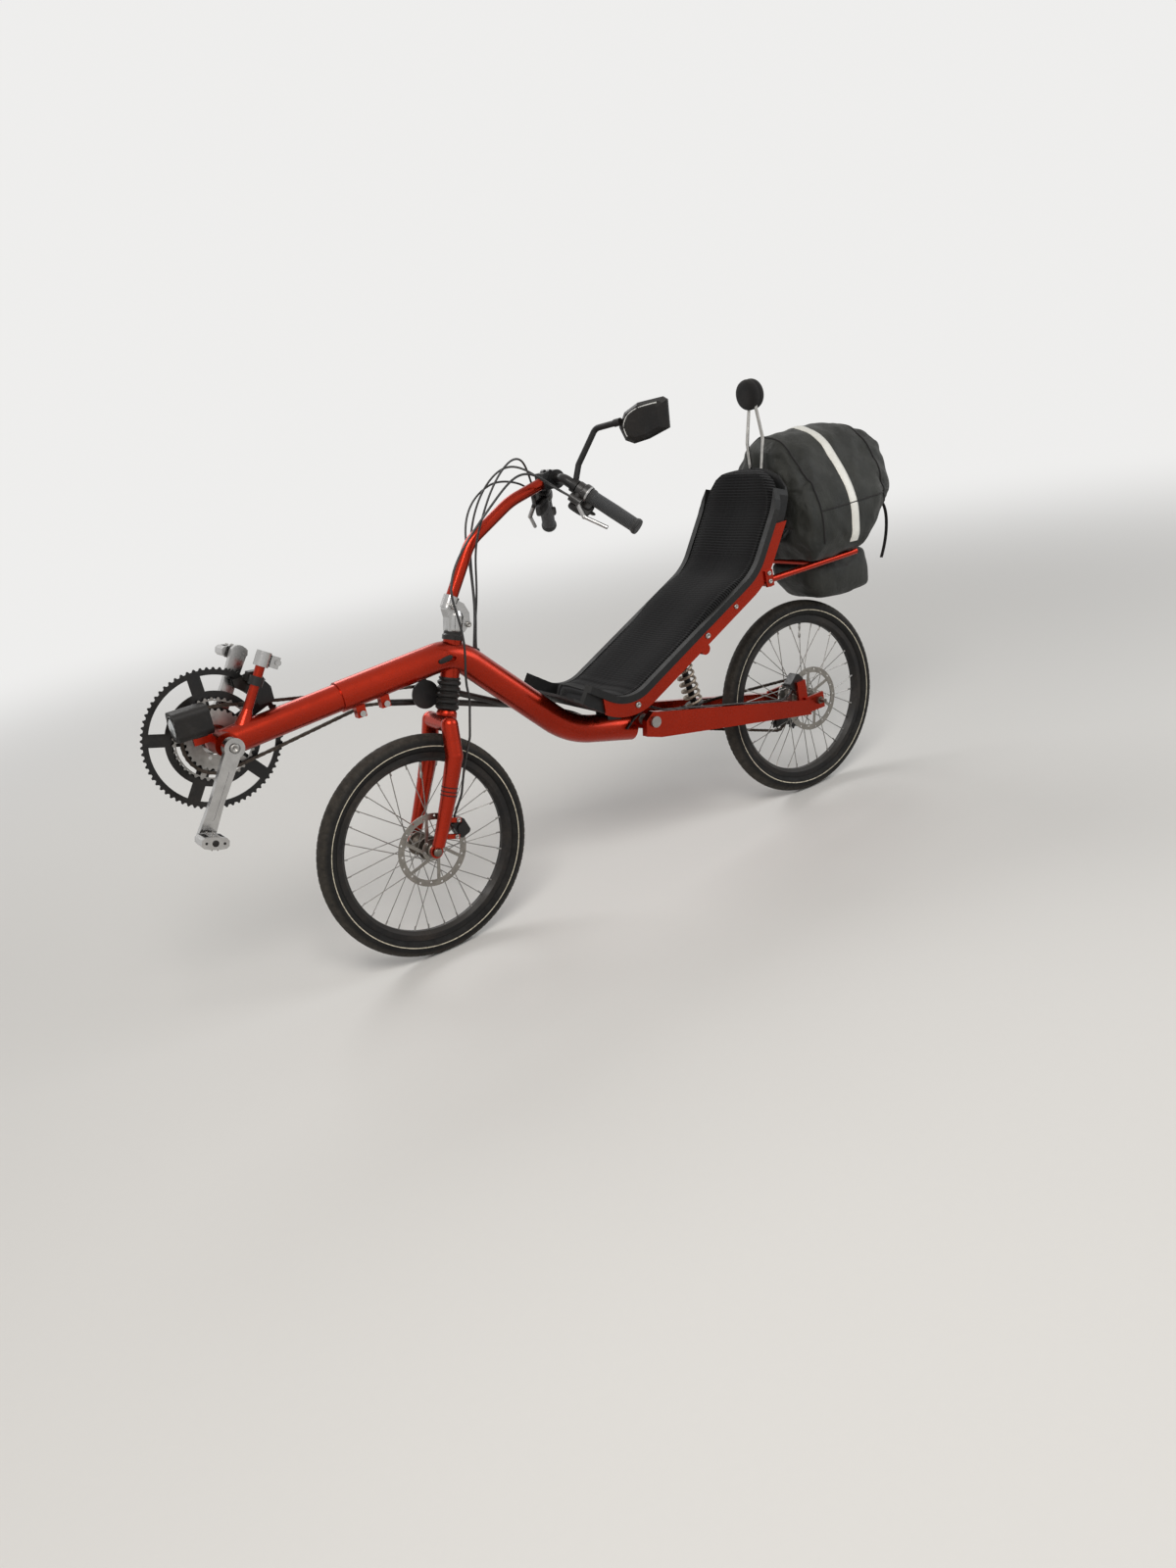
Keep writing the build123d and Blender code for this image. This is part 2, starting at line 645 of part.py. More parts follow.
def swingarm():
    """Two arms joined by a flat bridge that carries the damper's lower ears."""
    bridge = solid_box(-786.0, -750.0, -arm_inner, arm_inner, bridge_z - 10.0, bridge_z + 10.0)
    body = arm_side(1) + arm_side(-1) + bridge
    for side in (-1, 1):
        y = side * shock_ear_y
        ear = solid_box(shock_low.X - 10.0, shock_low.X + 10.0, y - 4.0, y + 4.0, bridge_z, shock_low.Z + 10.0)
        body = body + ear
    tab_y = rear_rotor_y + caliper_width / 2.0
    body = body + solid_box(axle_rear.X + 29.0, axle_rear.X + 57.0, tab_y, tab_y + 8.0, axle_rear.Z - 1.0, axle_rear.Z + 61.0)
    body = body - y_rod(pivot_radius + axle_play, pivot_x, pivot_z, -100.0, 100.0)
    body = body - y_rod(axle_radius + axle_play, axle_rear.X, axle_rear.Z, -100.0, 100.0)
    return body - y_rod(shock_pin_radius + axle_play, shock_low.X, shock_low.Z, -30.0, 30.0)


def pivot_axle():
    half = arm_inner + arm_width
    body = y_rod(pivot_radius, pivot_x, pivot_z, -half, half)
    for side in (-1, 1):
        body = body + y_rod(13.0, pivot_x, pivot_z, side * half, side * (half + 7.0))
        body = body + y_rod(13.0, pivot_x, pivot_z, side * (pivot_boss_half + 0.5), side * (pivot_boss_half + 3.0))
        body = body + y_rod(11.0, pivot_x, pivot_z, side * (arm_inner - 4.0), side * (arm_inner - 0.2))
    return body


def rear_axle():
    """Through axle with a nut outside each dropout and a stub past the left one."""
    outer = hub_half + dropout_thickness
    body = y_rod(axle_radius, axle_rear.X, axle_rear.Z, -outer - 12.0, outer + axle_stub + 8.0)
    for side in (-1, 1):
        nut = Pos(axle_rear.X, side * (outer + 4.0), axle_rear.Z) * Rot(90, 0, 0) * extrude(RegularPolygon(10.0, 6), 4.0, both=True)
        body = body + nut
    return body


def shock_body():
    """Damper between the bridge and the upright, with a pin through each eye and two spring seats."""
    body = rod_between(tuple(shock_low), tuple(shock_high), 8.0)
    for place in (shock_low, shock_high):
        body = body + y_rod(10.0, place.X, place.Z, -11.7, 11.7)
        body = body + y_rod(shock_pin_radius, place.X, place.Z, -23.0, 23.0)
    d = (shock_high - shock_low).normalized()
    for t in (14.0, shock_length - 20.0):
        seat = rod_between(tuple(shock_low + d * t), tuple(shock_low + d * (t + 4.0)), spring_radius)
        body = body + seat
    return body


def shock_spring():
    d = (shock_high - shock_low).normalized()
    base = shock_low + d * (18.0 + running_gap)
    height = shock_length - 20.0 - 18.0 - 2 * running_gap
    return coil(Plane(origin=base, z_dir=d).location, spring_radius - spring_wire, spring_wire, height, spring_turns)


# Drive train

def belt_path(circles, y):
    """Tangent lines and arcs of a chain round circles (x, z, radius, turn), first to last."""
    contacts = []
    for (x0, z0, r0, t0), (x1, z1, r1, t1) in zip(circles[:-1], circles[1:]):
        dist = math.hypot(x1 - x0, z1 - z0)
        base = math.atan2(z1 - z0, x1 - x0)
        lean = math.asin((t0 * r0 - t1 * r1) / dist)
        way = base + lean
        side = (math.sin(way), -math.cos(way))
        contacts.append(((x0 + t0 * r0 * side[0], z0 + t0 * r0 * side[1]),
                         (x1 + t1 * r1 * side[0], z1 + t1 * r1 * side[1])))
    edges = []
    for i, (start, end) in enumerate(contacts):
        edges.append(Line((start[0], y, start[1]), (end[0], y, end[1])))
        if i + 1 < len(contacts):
            x, z, r, turn = circles[i + 1]
            leave = contacts[i + 1][0]
            a0 = math.atan2(end[1] - z, end[0] - x)
            a1 = math.atan2(leave[1] - z, leave[0] - x)
            sweep_angle = (a1 - a0) * turn % (2 * math.pi) * turn
            mid = a0 + sweep_angle / 2.0
            edges.append(ThreePointArc((end[0], y, end[1]), (x + r * math.cos(mid), y, z + r * math.sin(mid)),
                                       (leave[0], y, leave[1])))
    return edges, contacts


def run_bars(points, width, height):
    """Flat bars from point to point, with a round joint at every point."""
    body = None
    for a, b in zip(points[:-1], points[1:]):
        a = Vector(*a)
        b = Vector(*b)
        base = Plane(origin=a, x_dir=(0, 1, 0), z_dir=b - a)
        bar = extrude(base * Rectangle(width, height), amount=(b - a).length, dir=b - a)
        body = bar if body is None else body + bar
    for x, y, z in points:
        body = body + y_rod(height / 2.0 - 0.02, x, z, y - width / 2.0 + 0.02, y + width / 2.0 - 0.02)
    return body


# Chain line: circles the chain bears on, as x, z, radius at the chain's middle, turn
drive_circles = [
    (first_pulley_x, first_pulley_z, chain_pulley_radius, -1),
    (bb_x, bb_z, small_ring_tip + chain_rise, 1),
    (front_idler_x, front_idler_z, chain_pulley_radius, 1),
    (rear_idler_x, rear_idler_z, chain_pulley_radius, -1),
    (axle_rear.X, axle_rear.Z, sprocket_tip + chain_rise, 1),
    (guide_pulley_x, guide_pulley_z, jockey_tip + chain_rise, -1),
    (tension_pulley_x, tension_pulley_z, jockey_tip + chain_rise, 1),
    (rear_idler_x, rear_idler_z, chain_pulley_radius, 1),
]


def point_on(start, end, distance):
    """Point at a distance along the line between two (x, z) points."""
    length = math.hypot(end[0] - start[0], end[1] - start[1])
    return (start[0] + (end[0] - start[0]) * distance / length, start[1] + (end[1] - start[1]) * distance / length)


def return_points():
    """Corners of the slack run: x, y, z from the rear derailleur to the chainring."""
    edges, contacts = belt_path(drive_circles, chain_y)
    start, low = contacts[-1]
    first, ring_low = contacts[0]
    leave = point_on(start, low, chain_splice)
    arrive = point_on(ring_low, first, chain_splice)
    points = [(leave[0], chain_y, leave[1]), (low[0], return_y, low[1])]
    points.append((rear_idler_x + 12.0, return_y, rear_idler_z - chain_pulley_radius + 3.6))
    points += [(x, return_y, z) for x, z in return_tube_route]
    points.append((first_pulley_x, (chain_y + return_y) / 2.0 - 5.0, first_pulley_z + chain_pulley_radius))
    points.append((arrive[0], chain_y, arrive[1]))
    return points


def chain():
    """Fixed loop: a swept band round the rings and pulleys, and bars along the slack run."""
    edges, contacts = belt_path(drive_circles, chain_y)
    points = return_points()
    lead_in = Line(points[-1], edges[1] @ 0)
    lead_out = Line(edges[-2] @ 1, points[0])
    path = Wire([lead_in] + edges[1:-1] + [lead_out])
    base = Plane(origin=path @ 0, x_dir=(0, 1, 0), z_dir=path % 0)
    width = 2 * chain_half_width
    height = 2 * chain_half_height
    loop = sweep(base * Rectangle(width, height), path=path)
    return loop + run_bars(points, width, height)


def tube_along(points, bends, outer, inner):
    path = FilletPolyline(*points, radius=bends) if len(points) > 2 else Line(*points)
    base = Plane(origin=path @ 0, z_dir=path % 0)
    return sweep(base * (Circle(outer) - Circle(inner)), path=path)


def chain_tubes():
    edges, contacts = belt_path(drive_circles, chain_y)
    (ax, az), (bx, bz) = contacts[2]
    start = (ax + (bx - ax) * 0.12, chain_y, az + (bz - az) * 0.12)
    end = (ax + (bx - ax) * 0.90, chain_y, az + (bz - az) * 0.90)
    drive = tube_along([start, end], [], chain_tube_radius, chain_tube_radius - 1.0)
    route = [(x, return_y, z) for x, z in reversed(return_tube_route)]
    slack = tube_along(route, [150.0] * (len(route) - 2), chain_tube_radius, chain_tube_radius - 1.0)
    return Compound([drive, slack])


def pulley(x, z, y, tip, bore):
    wheel = y_rod(tip, x, z, y - 1.2, y + 1.2) + y_rod(tip * 0.62, x, z, y - 3.0, y + 3.0)
    return wheel - y_rod(bore, x, z, y - 5.0, y + 5.0)


def idlers():
    """Two guide pulleys for the drive run and one for the slack run."""
    tip = chain_pulley_radius - chain_rise
    front = pulley(front_idler_x, front_idler_z, chain_y, tip, 4.1)
    rear = pulley(rear_idler_x, rear_idler_z, chain_y, tip, 4.1)
    slack = pulley(rear_idler_x, rear_idler_z, return_y, tip, 4.1)
    return Compound([front, rear, slack])


def idler_studs():
    """Studs the guide pulleys turn on, the front one on a round guard under the main tube."""
    front = y_rod(4.0, front_idler_x, front_idler_z, chain_y - 8.0, -30.0)
    guard = y_rod(guard_radius, front_idler_x, front_idler_z + 2.0, -34.0, -30.0)
    plate = solid_box(front_idler_x - 9.0, front_idler_x + 9.0, -34.0, -30.0, front_idler_z - 8.0, 600.0)
    plate = plate + solid_box(front_idler_x - 9.0, front_idler_x + 9.0, -34.0, 0.0, 596.0, 600.0)
    rear = y_rod(4.0, rear_idler_x, rear_idler_z, return_y - 5.0, -20.0)
    return Compound([front + guard + plate - main_tube(), rear - main_tube()])


def crank_end(side):
    angle = crank_angle if side > 0 else crank_angle + 180.0
    return (bb_x + crank_length * math.cos(rad(angle)), bb_z + crank_length * math.sin(rad(angle)), angle)


def arm_angle(i):
    """Angle of one of the chainrings' arms, set from the crank's own."""
    return crank_angle + 360.0 / ring_arm_count * i


def crank_arm(side):
    """Waisted arm with a round boss and eye and a groove along its outer face."""
    x, z, angle = crank_end(side)
    inner = side * arm_face_y
    outer = side * (arm_face_y + crank_thickness)
    wide = 0.8 * crank_boss_radius
    eye = pedal_eye_radius
    half = [(0.0, wide), (crank_waist_place, crank_waist / 2.0), (crank_length, eye)]
    outline = half + [(t, -w) for t, w in reversed(half)]
    turn = Pos(bb_x, 0, bb_z) * Rot(0, -angle, 0)
    body = turn * side_plate(outline, inner, outer)
    body = body + y_rod(crank_boss_radius, bb_x, bb_z, side * (arm_face_y - 6.0), outer)
    body = body + y_rod(eye - 0.1, x, z, inner, outer)
    groove = rod_plate(48.0, 0.0, 138.0, 0.0, 4.0, min(outer, outer - 1.5 * side), max(outer, outer - 1.5 * side))
    body = body - turn * groove
    recess = y_rod(11.0, bb_x, bb_z, outer - 3.0 * side, outer)
    return body - recess - y_rod(pedal_bore, x, z, side * 40.0, side * 90.0)


def crankset():
    """Spindle, both arms and the five-armed spider with its ring bolts."""
    body = y_rod(spindle_radius, bb_x, bb_z, -arm_face_y - 4.0, arm_face_y + 4.0)
    body = body + crank_arm(1) + crank_arm(-1)
    spider_low = ring_y["large"] - ring_thickness / 2.0
    body = body + y_rod(30.0, bb_x, bb_z, spider_low - 6.0, spider_low)
    bolt_circle = ring_bolt_circles["large"]
    for i in range(ring_arm_count):
        turn = Pos(bb_x, 0, bb_z) * Rot(0, -arm_angle(i), 0)
        points = [(12.0, 11.0), (bolt_circle, 7.0), (bolt_circle + 8.0, 4.0), (bolt_circle + 8.0, -4.0),
                  (bolt_circle, -7.0), (12.0, -11.0)]
        body = body + turn * side_plate(points, spider_low - 6.0, spider_low)
        angle = rad(arm_angle(i))
        for ring in ("middle", "small"):
            radius = ring_bolt_circles[ring]
            x = bb_x + radius * math.cos(angle)
            z = bb_z + radius * math.sin(angle)
            body = body + y_rod(ring_bolt_radius, x, z, spider_low - 1.0, ring_y[ring] + ring_thickness / 2.0 + 1.0)
    return body


def ring_bolt_holes(radius, y):
    holes = None
    for i in range(ring_arm_count):
        angle = rad(arm_angle(i))
        x = bb_x + radius * math.cos(angle)
        z = bb_z + radius * math.sin(angle)
        hole = y_rod(ring_bolt_radius + axle_play, x, z, y - 4.0, y + 4.0)
        holes = hole if holes is None else holes + hole
    return holes


def ring_disc(outer, inner, y0, y1):
    return y_rod(outer, bb_x, bb_z, y0, y1) - y_rod(inner, bb_x, bb_z, y0 - 1, y1 + 1)


def ring_arms(inner, outer, width, y0, y1):
    """Flat arms between two radii, one for each of the spider's."""
    arms = None
    for i in range(ring_arm_count):
        turn = Pos(bb_x, 0, bb_z) * Rot(0, -arm_angle(i), 0)
        points = [(inner, -width / 2.0), (outer, -width / 2.0), (outer, width / 2.0), (inner, width / 2.0)]
        arm = turn * side_plate(points, y0, y1)
        arms = arm if arms is None else arms + arm
    return arms


def outer_chainring():
    """Toothed hoop, two plain hoops within it and five broad arms through them."""
    y = ring_y["large"]
    y0 = y - ring_thickness / 2.0
    y1 = y + ring_thickness / 2.0
    body = toothed_disc(large_ring_tip, large_ring_tip - large_ring_rim, bb_x, bb_z, y0, y1)
    for outer, inner in large_ring_hoops:
        body = body + ring_disc(outer, inner, y0, y1)
    body = body + ring_arms(large_ring_hoops[-1][1] + 4.0, large_ring_tip - large_ring_rim + 4.0, large_ring_arm, y0, y1)
    return body - ring_bolt_holes(ring_bolt_circles["large"], y)


def inner_chainrings():
    """Middle ring on five struts and the small ring, both toothed."""
    half = ring_thickness / 2.0
    y = ring_y["middle"]
    circle = ring_bolt_circles["middle"]
    hoop = middle_ring_tip - middle_ring_rim
    middle = toothed_disc(middle_ring_tip, hoop, bb_x, bb_z, y - half, y + half)
    middle = middle + ring_arms(circle, hoop + 2.0, 11.0, y - half, y + half)
    for i in range(ring_arm_count):
        angle = rad(arm_angle(i))
        middle = middle + y_rod(9.0, bb_x + circle * math.cos(angle), bb_z + circle * math.sin(angle), y - half, y + half)
    middle = middle - ring_bolt_holes(circle, y)
    y = ring_y["small"]
    circle = ring_bolt_circles["small"]
    small = toothed_disc(small_ring_tip, circle - 7.0, bb_x, bb_z, y - half, y + half) - ring_bolt_holes(circle, y)
    return Compound([middle, small])


def pedal(side):
    """Small double-sided pedal: a barrel between two slotted treads on its spindle."""
    x, z, angle = crank_end(side)
    outer = arm_face_y + crank_thickness
    middle = side * (outer + 33.0)
    body = y_rod(pedal_bore - axle_play, x, z, side * (arm_face_y + 1.0), side * (outer + 56.0))
    body = body + y_rod(8.0, x, z, side * (outer + 0.5), side * (outer + 9.0))
    outline = [(-26.0, -5.0), (-21.0, -10.0), (-8.0, -12.0), (8.0, -12.0), (21.0, -10.0), (26.0, -5.0),
               (26.0, 5.0), (21.0, 10.0), (8.0, 12.0), (-8.0, 12.0), (-21.0, 10.0), (-26.0, 5.0)]
    block = side_plate(outline, -22.0, 22.0)
    for slot_x in (-15.0, 15.0):
        block = block - Pos(slot_x, 0, 0) * Box(8.0, 28.0, 40.0)
    return body + Pos(x, middle, z) * Rot(0, -20.0, 0) * block


# Wheels

def tyre(axle):
    """Tyre turned from a section of seven straight sides, with its crown on the middle line."""
    inner = rim_outer_radius + 0.2
    rise = wheel_radius - inner
    wide = tyre_half_width
    half = [(inner, 11.0), (inner + 0.42 * rise, wide), (inner + 0.84 * rise, 0.72 * wide)]
    return y_lathe(half + [(wheel_radius, 0.0)] + [(r, -y) for r, y in reversed(half)], axle.X, axle.Z)


def rim(axle):
    """Box rim: straight flanks and a narrow inner wall."""
    w = rim_half_width
    outer = rim_outer_radius
    half = [(outer, w), (outer - 12.0, w), (rim_inner_radius, 5.0)]
    return y_lathe(half + [(r, -y) for r, y in reversed(half)], axle.X, axle.Z)


def spokes(axle, flange_y):
    """Crossed spokes: leading and trailing ones touch where they cross."""
    body = None
    step = 360.0 / spoke_count
    for i in range(spoke_count):
        side = 1 if i % 2 == 0 else -1
        lead = 1 if (i // 2) % 2 == 0 else -1
        rim_angle = rad(step * i)
        hub_angle = rim_angle + rad(lead * spoke_cross)
        offset = lead * spoke_radius * 0.6
        hub_y = (flange_y[0] if side > 0 else flange_y[1]) + offset
        rim_r = rim_inner_radius - running_gap
        hub_r = flange_radius + spoke_radius + running_gap
        a = (axle.X + hub_r * math.cos(hub_angle), hub_y, axle.Z + hub_r * math.sin(hub_angle))
        b = (axle.X + rim_r * math.cos(rim_angle), side * 3.0 + offset, axle.Z + rim_r * math.sin(rim_angle))
        spoke = rod_between(a, b, spoke_radius, 6)
        body = spoke if body is None else body + spoke
    return body


def hub(axle, flange_y, half):
    """Turned hub: end caps, a waist that swells to two flanges, and a plain bore."""
    low = -half + 1.0
    high = half - 1.0
    left = max(flange_y)
    right = min(flange_y)
    bore = axle_radius + axle_play
    t = flange_half
    profile = [(bore, low), (hub_barrel - 3.0, low), (hub_barrel, low + 3.0), (hub_barrel, right - t),
               (flange_radius, right - t), (flange_radius, right + t), (hub_barrel + 4.0, right + t + 1.0),
               (hub_waist, right + t + 10.0), (hub_waist, left - t - 10.0), (hub_barrel + 4.0, left - t - 1.0),
               (flange_radius, left - t), (flange_radius, left + t), (hub_barrel, left + t),
               (hub_barrel, high - 3.0), (hub_barrel - 3.0, high), (bore, high)]
    return y_lathe(profile, axle.X, axle.Z)


def rotor(axle, y, radius):
    """Brake disc: a drilled band on slanted arms and a centre ring."""
    half = 0.9
    inner = radius - rotor_band
    disc = y_rod(radius, 0, 0, -half, half) - y_rod(inner, 0, 0, -3, 3)
    centre = y_rod(24.0, 0, 0, -half, half)
    body = disc + centre
    for i in range(6):
        near = rad(60.0 * i)
        far = rad(60.0 * i + 32.0)
        reach = inner + 3.0
        arm = rod_plate(20.0 * math.cos(near), 20.0 * math.sin(near), reach * math.cos(far), reach * math.sin(far), 3.6,
                        -half, half)
        body = body + arm
    body = body - y_rod(hub_barrel, 0, 0, -3, 3)
    for i in range(18):
        angle = rad(20.0 * i + 7.0)
        place = radius - rotor_band / 2.0 + (2.0 if i % 2 else -2.0)
        body = body - y_rod(2.4, place * math.cos(angle), place * math.sin(angle), -3, 3)
    return Pos(axle.X, y, axle.Z) * body


# Steered parts

def leg_point(n, y, s):
    return tuple(on_steer(n, y, s))


def fork_leg(side):
    """Leg that bows out under the crown and tapers to the axle, with two grooves round it."""
    body = None
    for (n0, y0, s0, r0), (n1, y1, s1, r1) in zip(leg_stations[:-1], leg_stations[1:]):
        piece = tapered_rod(leg_point(n0, side * y0, s0), leg_point(n1, side * y1, s1), r0, r1)
        body = piece if body is None else body + piece
    for n, y, s, r in leg_stations[:-1]:
        centre = on_steer(n, side * y, s)
        body = body + Pos(centre.X, centre.Y, centre.Z) * Sphere(r + 0.15)
    (n0, y0, s0, r0), (n1, y1, s1, r1) = leg_stations[1:3]
    for s in leg_grooves:
        part = (s0 - s) / (s0 - s1)
        middle = on_steer(n0 + (n1 - n0) * part, side * y0, s)
        along = on_steer(n1, side * y1, s1) - on_steer(n0, side * y0, s0)
        ring = Cylinder(r0 + 4.0, 2.0) - Cylinder(r0 + (r1 - r0) * part - 0.9, 3.0)
        body = body - Plane(origin=middle, z_dir=along).location * ring
    return body


def fork():
    """Two bowed legs, an arched crown, the steerer and the wheel's axle, with dropout ends."""
    body = steer_frame * Pos(0, 0, (crown_low + steerer_top) / 2.0) * Cylinder(steerer_radius, steerer_top - crown_low)
    crown = [(0.0, crown_low), (crown_radius - 4.0, crown_low), (crown_radius, crown_low + 5.0),
             (crown_radius, crown_top + 6.0), (crown_radius - 3.0, crown_top + 12.0), (0.0, crown_top + 12.0)]
    body = body + lathe(crown, steer_frame)
    n, y, s, r = leg_stations[0]
    body = body + steer_frame * Pos(n, 0, s) * Rot(90, 0, 0) * Cylinder(crown_bar_radius, 2 * y)
    neck = Pos(n / 2.0, 0, s) * Box(n, 2 * crown_radius - 6.0, 2 * crown_bar_radius - 8.0)
    body = body + steer_frame * neck
    for side in (-1, 1):
        body = body + fork_leg(side)
        y0 = side * fork_half
        y1 = side * (fork_half + 8.0)
        body = body + y_rod(14.0, axle_front.X, axle_front.Z, y0, y1)
        near = (axle_front.X, (y0 + y1) / 2.0, axle_front.Z)
        body = body + rod_between(near, leg_point(leg_stations[-1][0], side * leg_y, leg_stations[-1][2] + 12.0), 8.0)
    body = body - y_rod(40.0, axle_front.X, axle_front.Z, -fork_half, fork_half)
    tab_y = front_rotor_y + caliper_width / 2.0
    for s in (32.0, 68.0):
        body = body + steer_frame * Pos(-7.0, tab_y + 4.0, s) * Box(38.0, 8.0, 10.0)
    return body + y_rod(axle_radius, axle_front.X, axle_front.Z, -fork_half - 12.0, fork_half + 12.0)


def bellows():
    """Ribbed rubber sleeve round the steerer between crown and head tube."""
    bore = steerer_radius + 0.2
    low = crown_top + 12.0 + running_gap
    high = head_bottom - 4.0 - running_gap - 0.3
    ribs = 5
    step = (high - low) / ribs
    profile = [(bore, low)]
    for i in range(ribs):
        base = low + step * i
        profile += [(21.0, base), (25.0, base + 0.3 * step), (25.0, base + 0.6 * step), (21.0, base + 0.92 * step)]
    profile += [(21.0, high), (bore, high)]
    return lathe(profile, steer_frame)


def stem():
    """Forged clamp on the steerer, leaning forward to a socket for the riser, with two bolt bosses."""
    low = head_top + headset_height + running_gap
    outline = [(-19.0, low), (17.0, low), (20.0, low + 28.0), (27.0, low + 44.0), (26.0, low + 58.0), (4.0, low + 66.0),
               (-12.0, low + 60.0), (-27.0, low + 42.0), (-31.0, low + 20.0)]
    points = [on_steer(n, 0, s) for n, s in outline]
    body = side_plate([(p.X, p.Z) for p in points], -14.0, 14.0)
    clamp = [(0.0, low), (18.0, low), (19.5, low + 4.0), (19.5, low + 34.0), (15.0, low + 44.0), (0.0, low + 44.0)]
    body = body + lathe(clamp, steer_frame)
    base = Vector(*riser_points[0])
    way = (Vector(*riser_points[1]) - base).normalized()
    socket = rod_between(tuple(base - way * 6.0), tuple(base + way * 22.0), riser_radius + 4.3)
    bolt = on_steer(-25.0, 0, low + 18.0)
    body = body + socket + y_rod(6.5, bolt.X, bolt.Z, -18.0, 18.0)
    pinch = on_steer(14.0, 0, low + 52.0)
    body = body + y_rod(7.5, pinch.X, pinch.Z, -19.0, 19.0)
    steerer = steer_frame * Pos(0, 0, (crown_top + steerer_top) / 2.0) * Cylinder(steerer_radius, steerer_top - crown_top + 0.2)
    return body - steerer - riser()


def riser():
    return bent_tube(riser_points, [90.0, 160.0], riser_radius)


def handlebar():
    end = Vector(*bar_end)
    points = [tuple(end - Vector(0, 2 * end.Y, 0)), (bar_x, -bar_knee_y, bar_z), (bar_x, bar_knee_y, bar_z), tuple(end)]
    return bent_tube(points, [22.0, 22.0], bar_radius)


def bar_point(side, t):
    """Point on one arm of the bar, t mm in from its end."""
    end = Vector(bar_end[0], side * bar_end[1], bar_end[2])
    knee = Vector(bar_x, side * bar_knee_y, bar_z)
    d = (knee - end).normalized()
    return end + d * t


def bar_clamp():
    """Round clamp on the bar with a block for the riser's end and two bolt bosses."""
    body = y_rod(bar_radius + 9.0, bar_x, bar_z, -19.0, 19.0)
    body = body + Pos(bar_x + 16.0, 0, bar_z) * Box(34.0, 34.0, 36.0)
    for side in (-1, 1):
        body = body + y_rod(5.0, bar_x + 12.0, bar_z + 18.0, side * 6.0, side * 17.0)
    return body - handlebar() - riser()


def grips():
    """Turned grips with a flared outer end and a collar at the inner one."""
    solids = []
    low = 15.0
    for side in (-1, 1):
        end = bar_point(side, 0.0)
        way = bar_point(side, 1.0) - end
        profile = [(0.0, -4.0), (16.0, -4.0), (grip_radius + 2.0, -1.0), (grip_radius + 2.0, 3.0), (low, 9.0),
                   (grip_radius, 60.0), (low, grip_length - 12.0), (grip_radius + 1.5, grip_length - 7.0),
                   (grip_radius + 1.5, grip_length), (bar_radius, grip_length), (bar_radius, 0.0), (0.0, 0.0)]
        solids.append(lathe(profile, Plane(origin=end, z_dir=way).location))
    return Compound(solids)


def brake_levers():
    """Shifter band and lever mount on each arm, with a barrel and a bent lever blade."""
    solids = []
    for side in (-1, 1):
        end = bar_point(side, 0.0)
        way = bar_point(side, 1.0) - end
        t0 = grip_length + 1.0
        profile = [(bar_radius, t0), (18.5, t0), (19.5, t0 + 3.0), (19.5, t0 + 14.0), (16.5, t0 + 18.0), (16.5, t0 + 30.0),
                   (bar_radius, t0 + 30.0)]
        body = lathe(profile, Plane(origin=end, z_dir=way).location)
        fore = Vector(24.0, 0, -12.0)
        pivot = bar_point(side, t0 + 16.0) + fore
        body = body + rod_between(tuple(bar_point(side, t0 + 23.0)), tuple(pivot), 8.0)
        body = body + rod_between(tuple(bar_point(side, t0 + 2.0) + fore), tuple(bar_point(side, t0 + 30.0) + fore), 9.0)
        knee = bar_point(side, 96.0) + Vector(46.0, 0, -20.0)
        tip = bar_point(side, 42.0) + Vector(38.0, 0, -16.0)
        body = body + rod_between(tuple(pivot), tuple(knee), 5.0) + rod_between(tuple(knee), tuple(tip), 4.2)
        body = body + Pos(knee.X, knee.Y, knee.Z) * Sphere(5.2)
        solids.append(body - rod_between(tuple(bar_point(side, 60.0)), tuple(bar_point(side, 220.0)), bar_radius))
    return Compound(solids)


def mirror_arm():
    """Band round the left bar arm and a bent stalk."""
    points = [tuple(bar_point(1, mirror_place)), (-519.0, 68.0, 948.0), mirror_elbow, mirror_arm_end]
    body = bent_tube(points, [12.0, 16.0], 6.5)
    body = body + rod_between(tuple(bar_point(1, mirror_place - 6.0)), tuple(bar_point(1, mirror_place + 6.0)), 15.0)
    bore = rod_between(tuple(bar_point(1, mirror_place - 30.0)), tuple(bar_point(1, mirror_place + 14.0)), bar_radius)
    return body - bore


def mirror_head():
    """Housing whose back narrows, with a socket for the stalk's end."""
    plane = Plane(origin=(-614.0, 200.0, 1015.0), x_dir=(-0.43, 0.90, 0), z_dir=(0.90, 0.43, 0))
    body = plane.location * drafted(mirror_outline, [(0.0, 1.0), (6.0, 1.0), (13.0, 0.86), (16.0, 0.68)])
    end = Vector(*mirror_arm_end)
    way = (end - Vector(*mirror_elbow)).normalized()
    return body + rod_between(tuple(end + way * running_gap), tuple(end + way * 16.0), 8.0)


def caliper(centre, turn, rotor_y, cap):
    """Rounded body over the rotor's edge, open along it, with a round cap outside where there is room."""
    block = fillet(Box(caliper_length, caliper_width, 30.0).edges().filter_by(Axis.Y), 8.0)
    if cap > 0:
        block = block + y_rod(11.0, 0, 0, 0, caliper_width / 2.0 + cap)
    slot = Pos(0, 0, -8.0) * Box(60.0, 4.0, 30.0)
    return Pos(centre[0], rotor_y, centre[1]) * Rot(0, turn, 0) * (block - slot)


def front_caliper():
    """On the back of the left leg, over the rotor's upper rear edge."""
    centre = on_steer(fork_rake - caliper_reach * math.cos(rad(40.0)), 0, caliper_reach * math.sin(rad(40.0)))
    return caliper((centre.X, centre.Z), head_tilt - 90.0, front_rotor_y, 4.0)


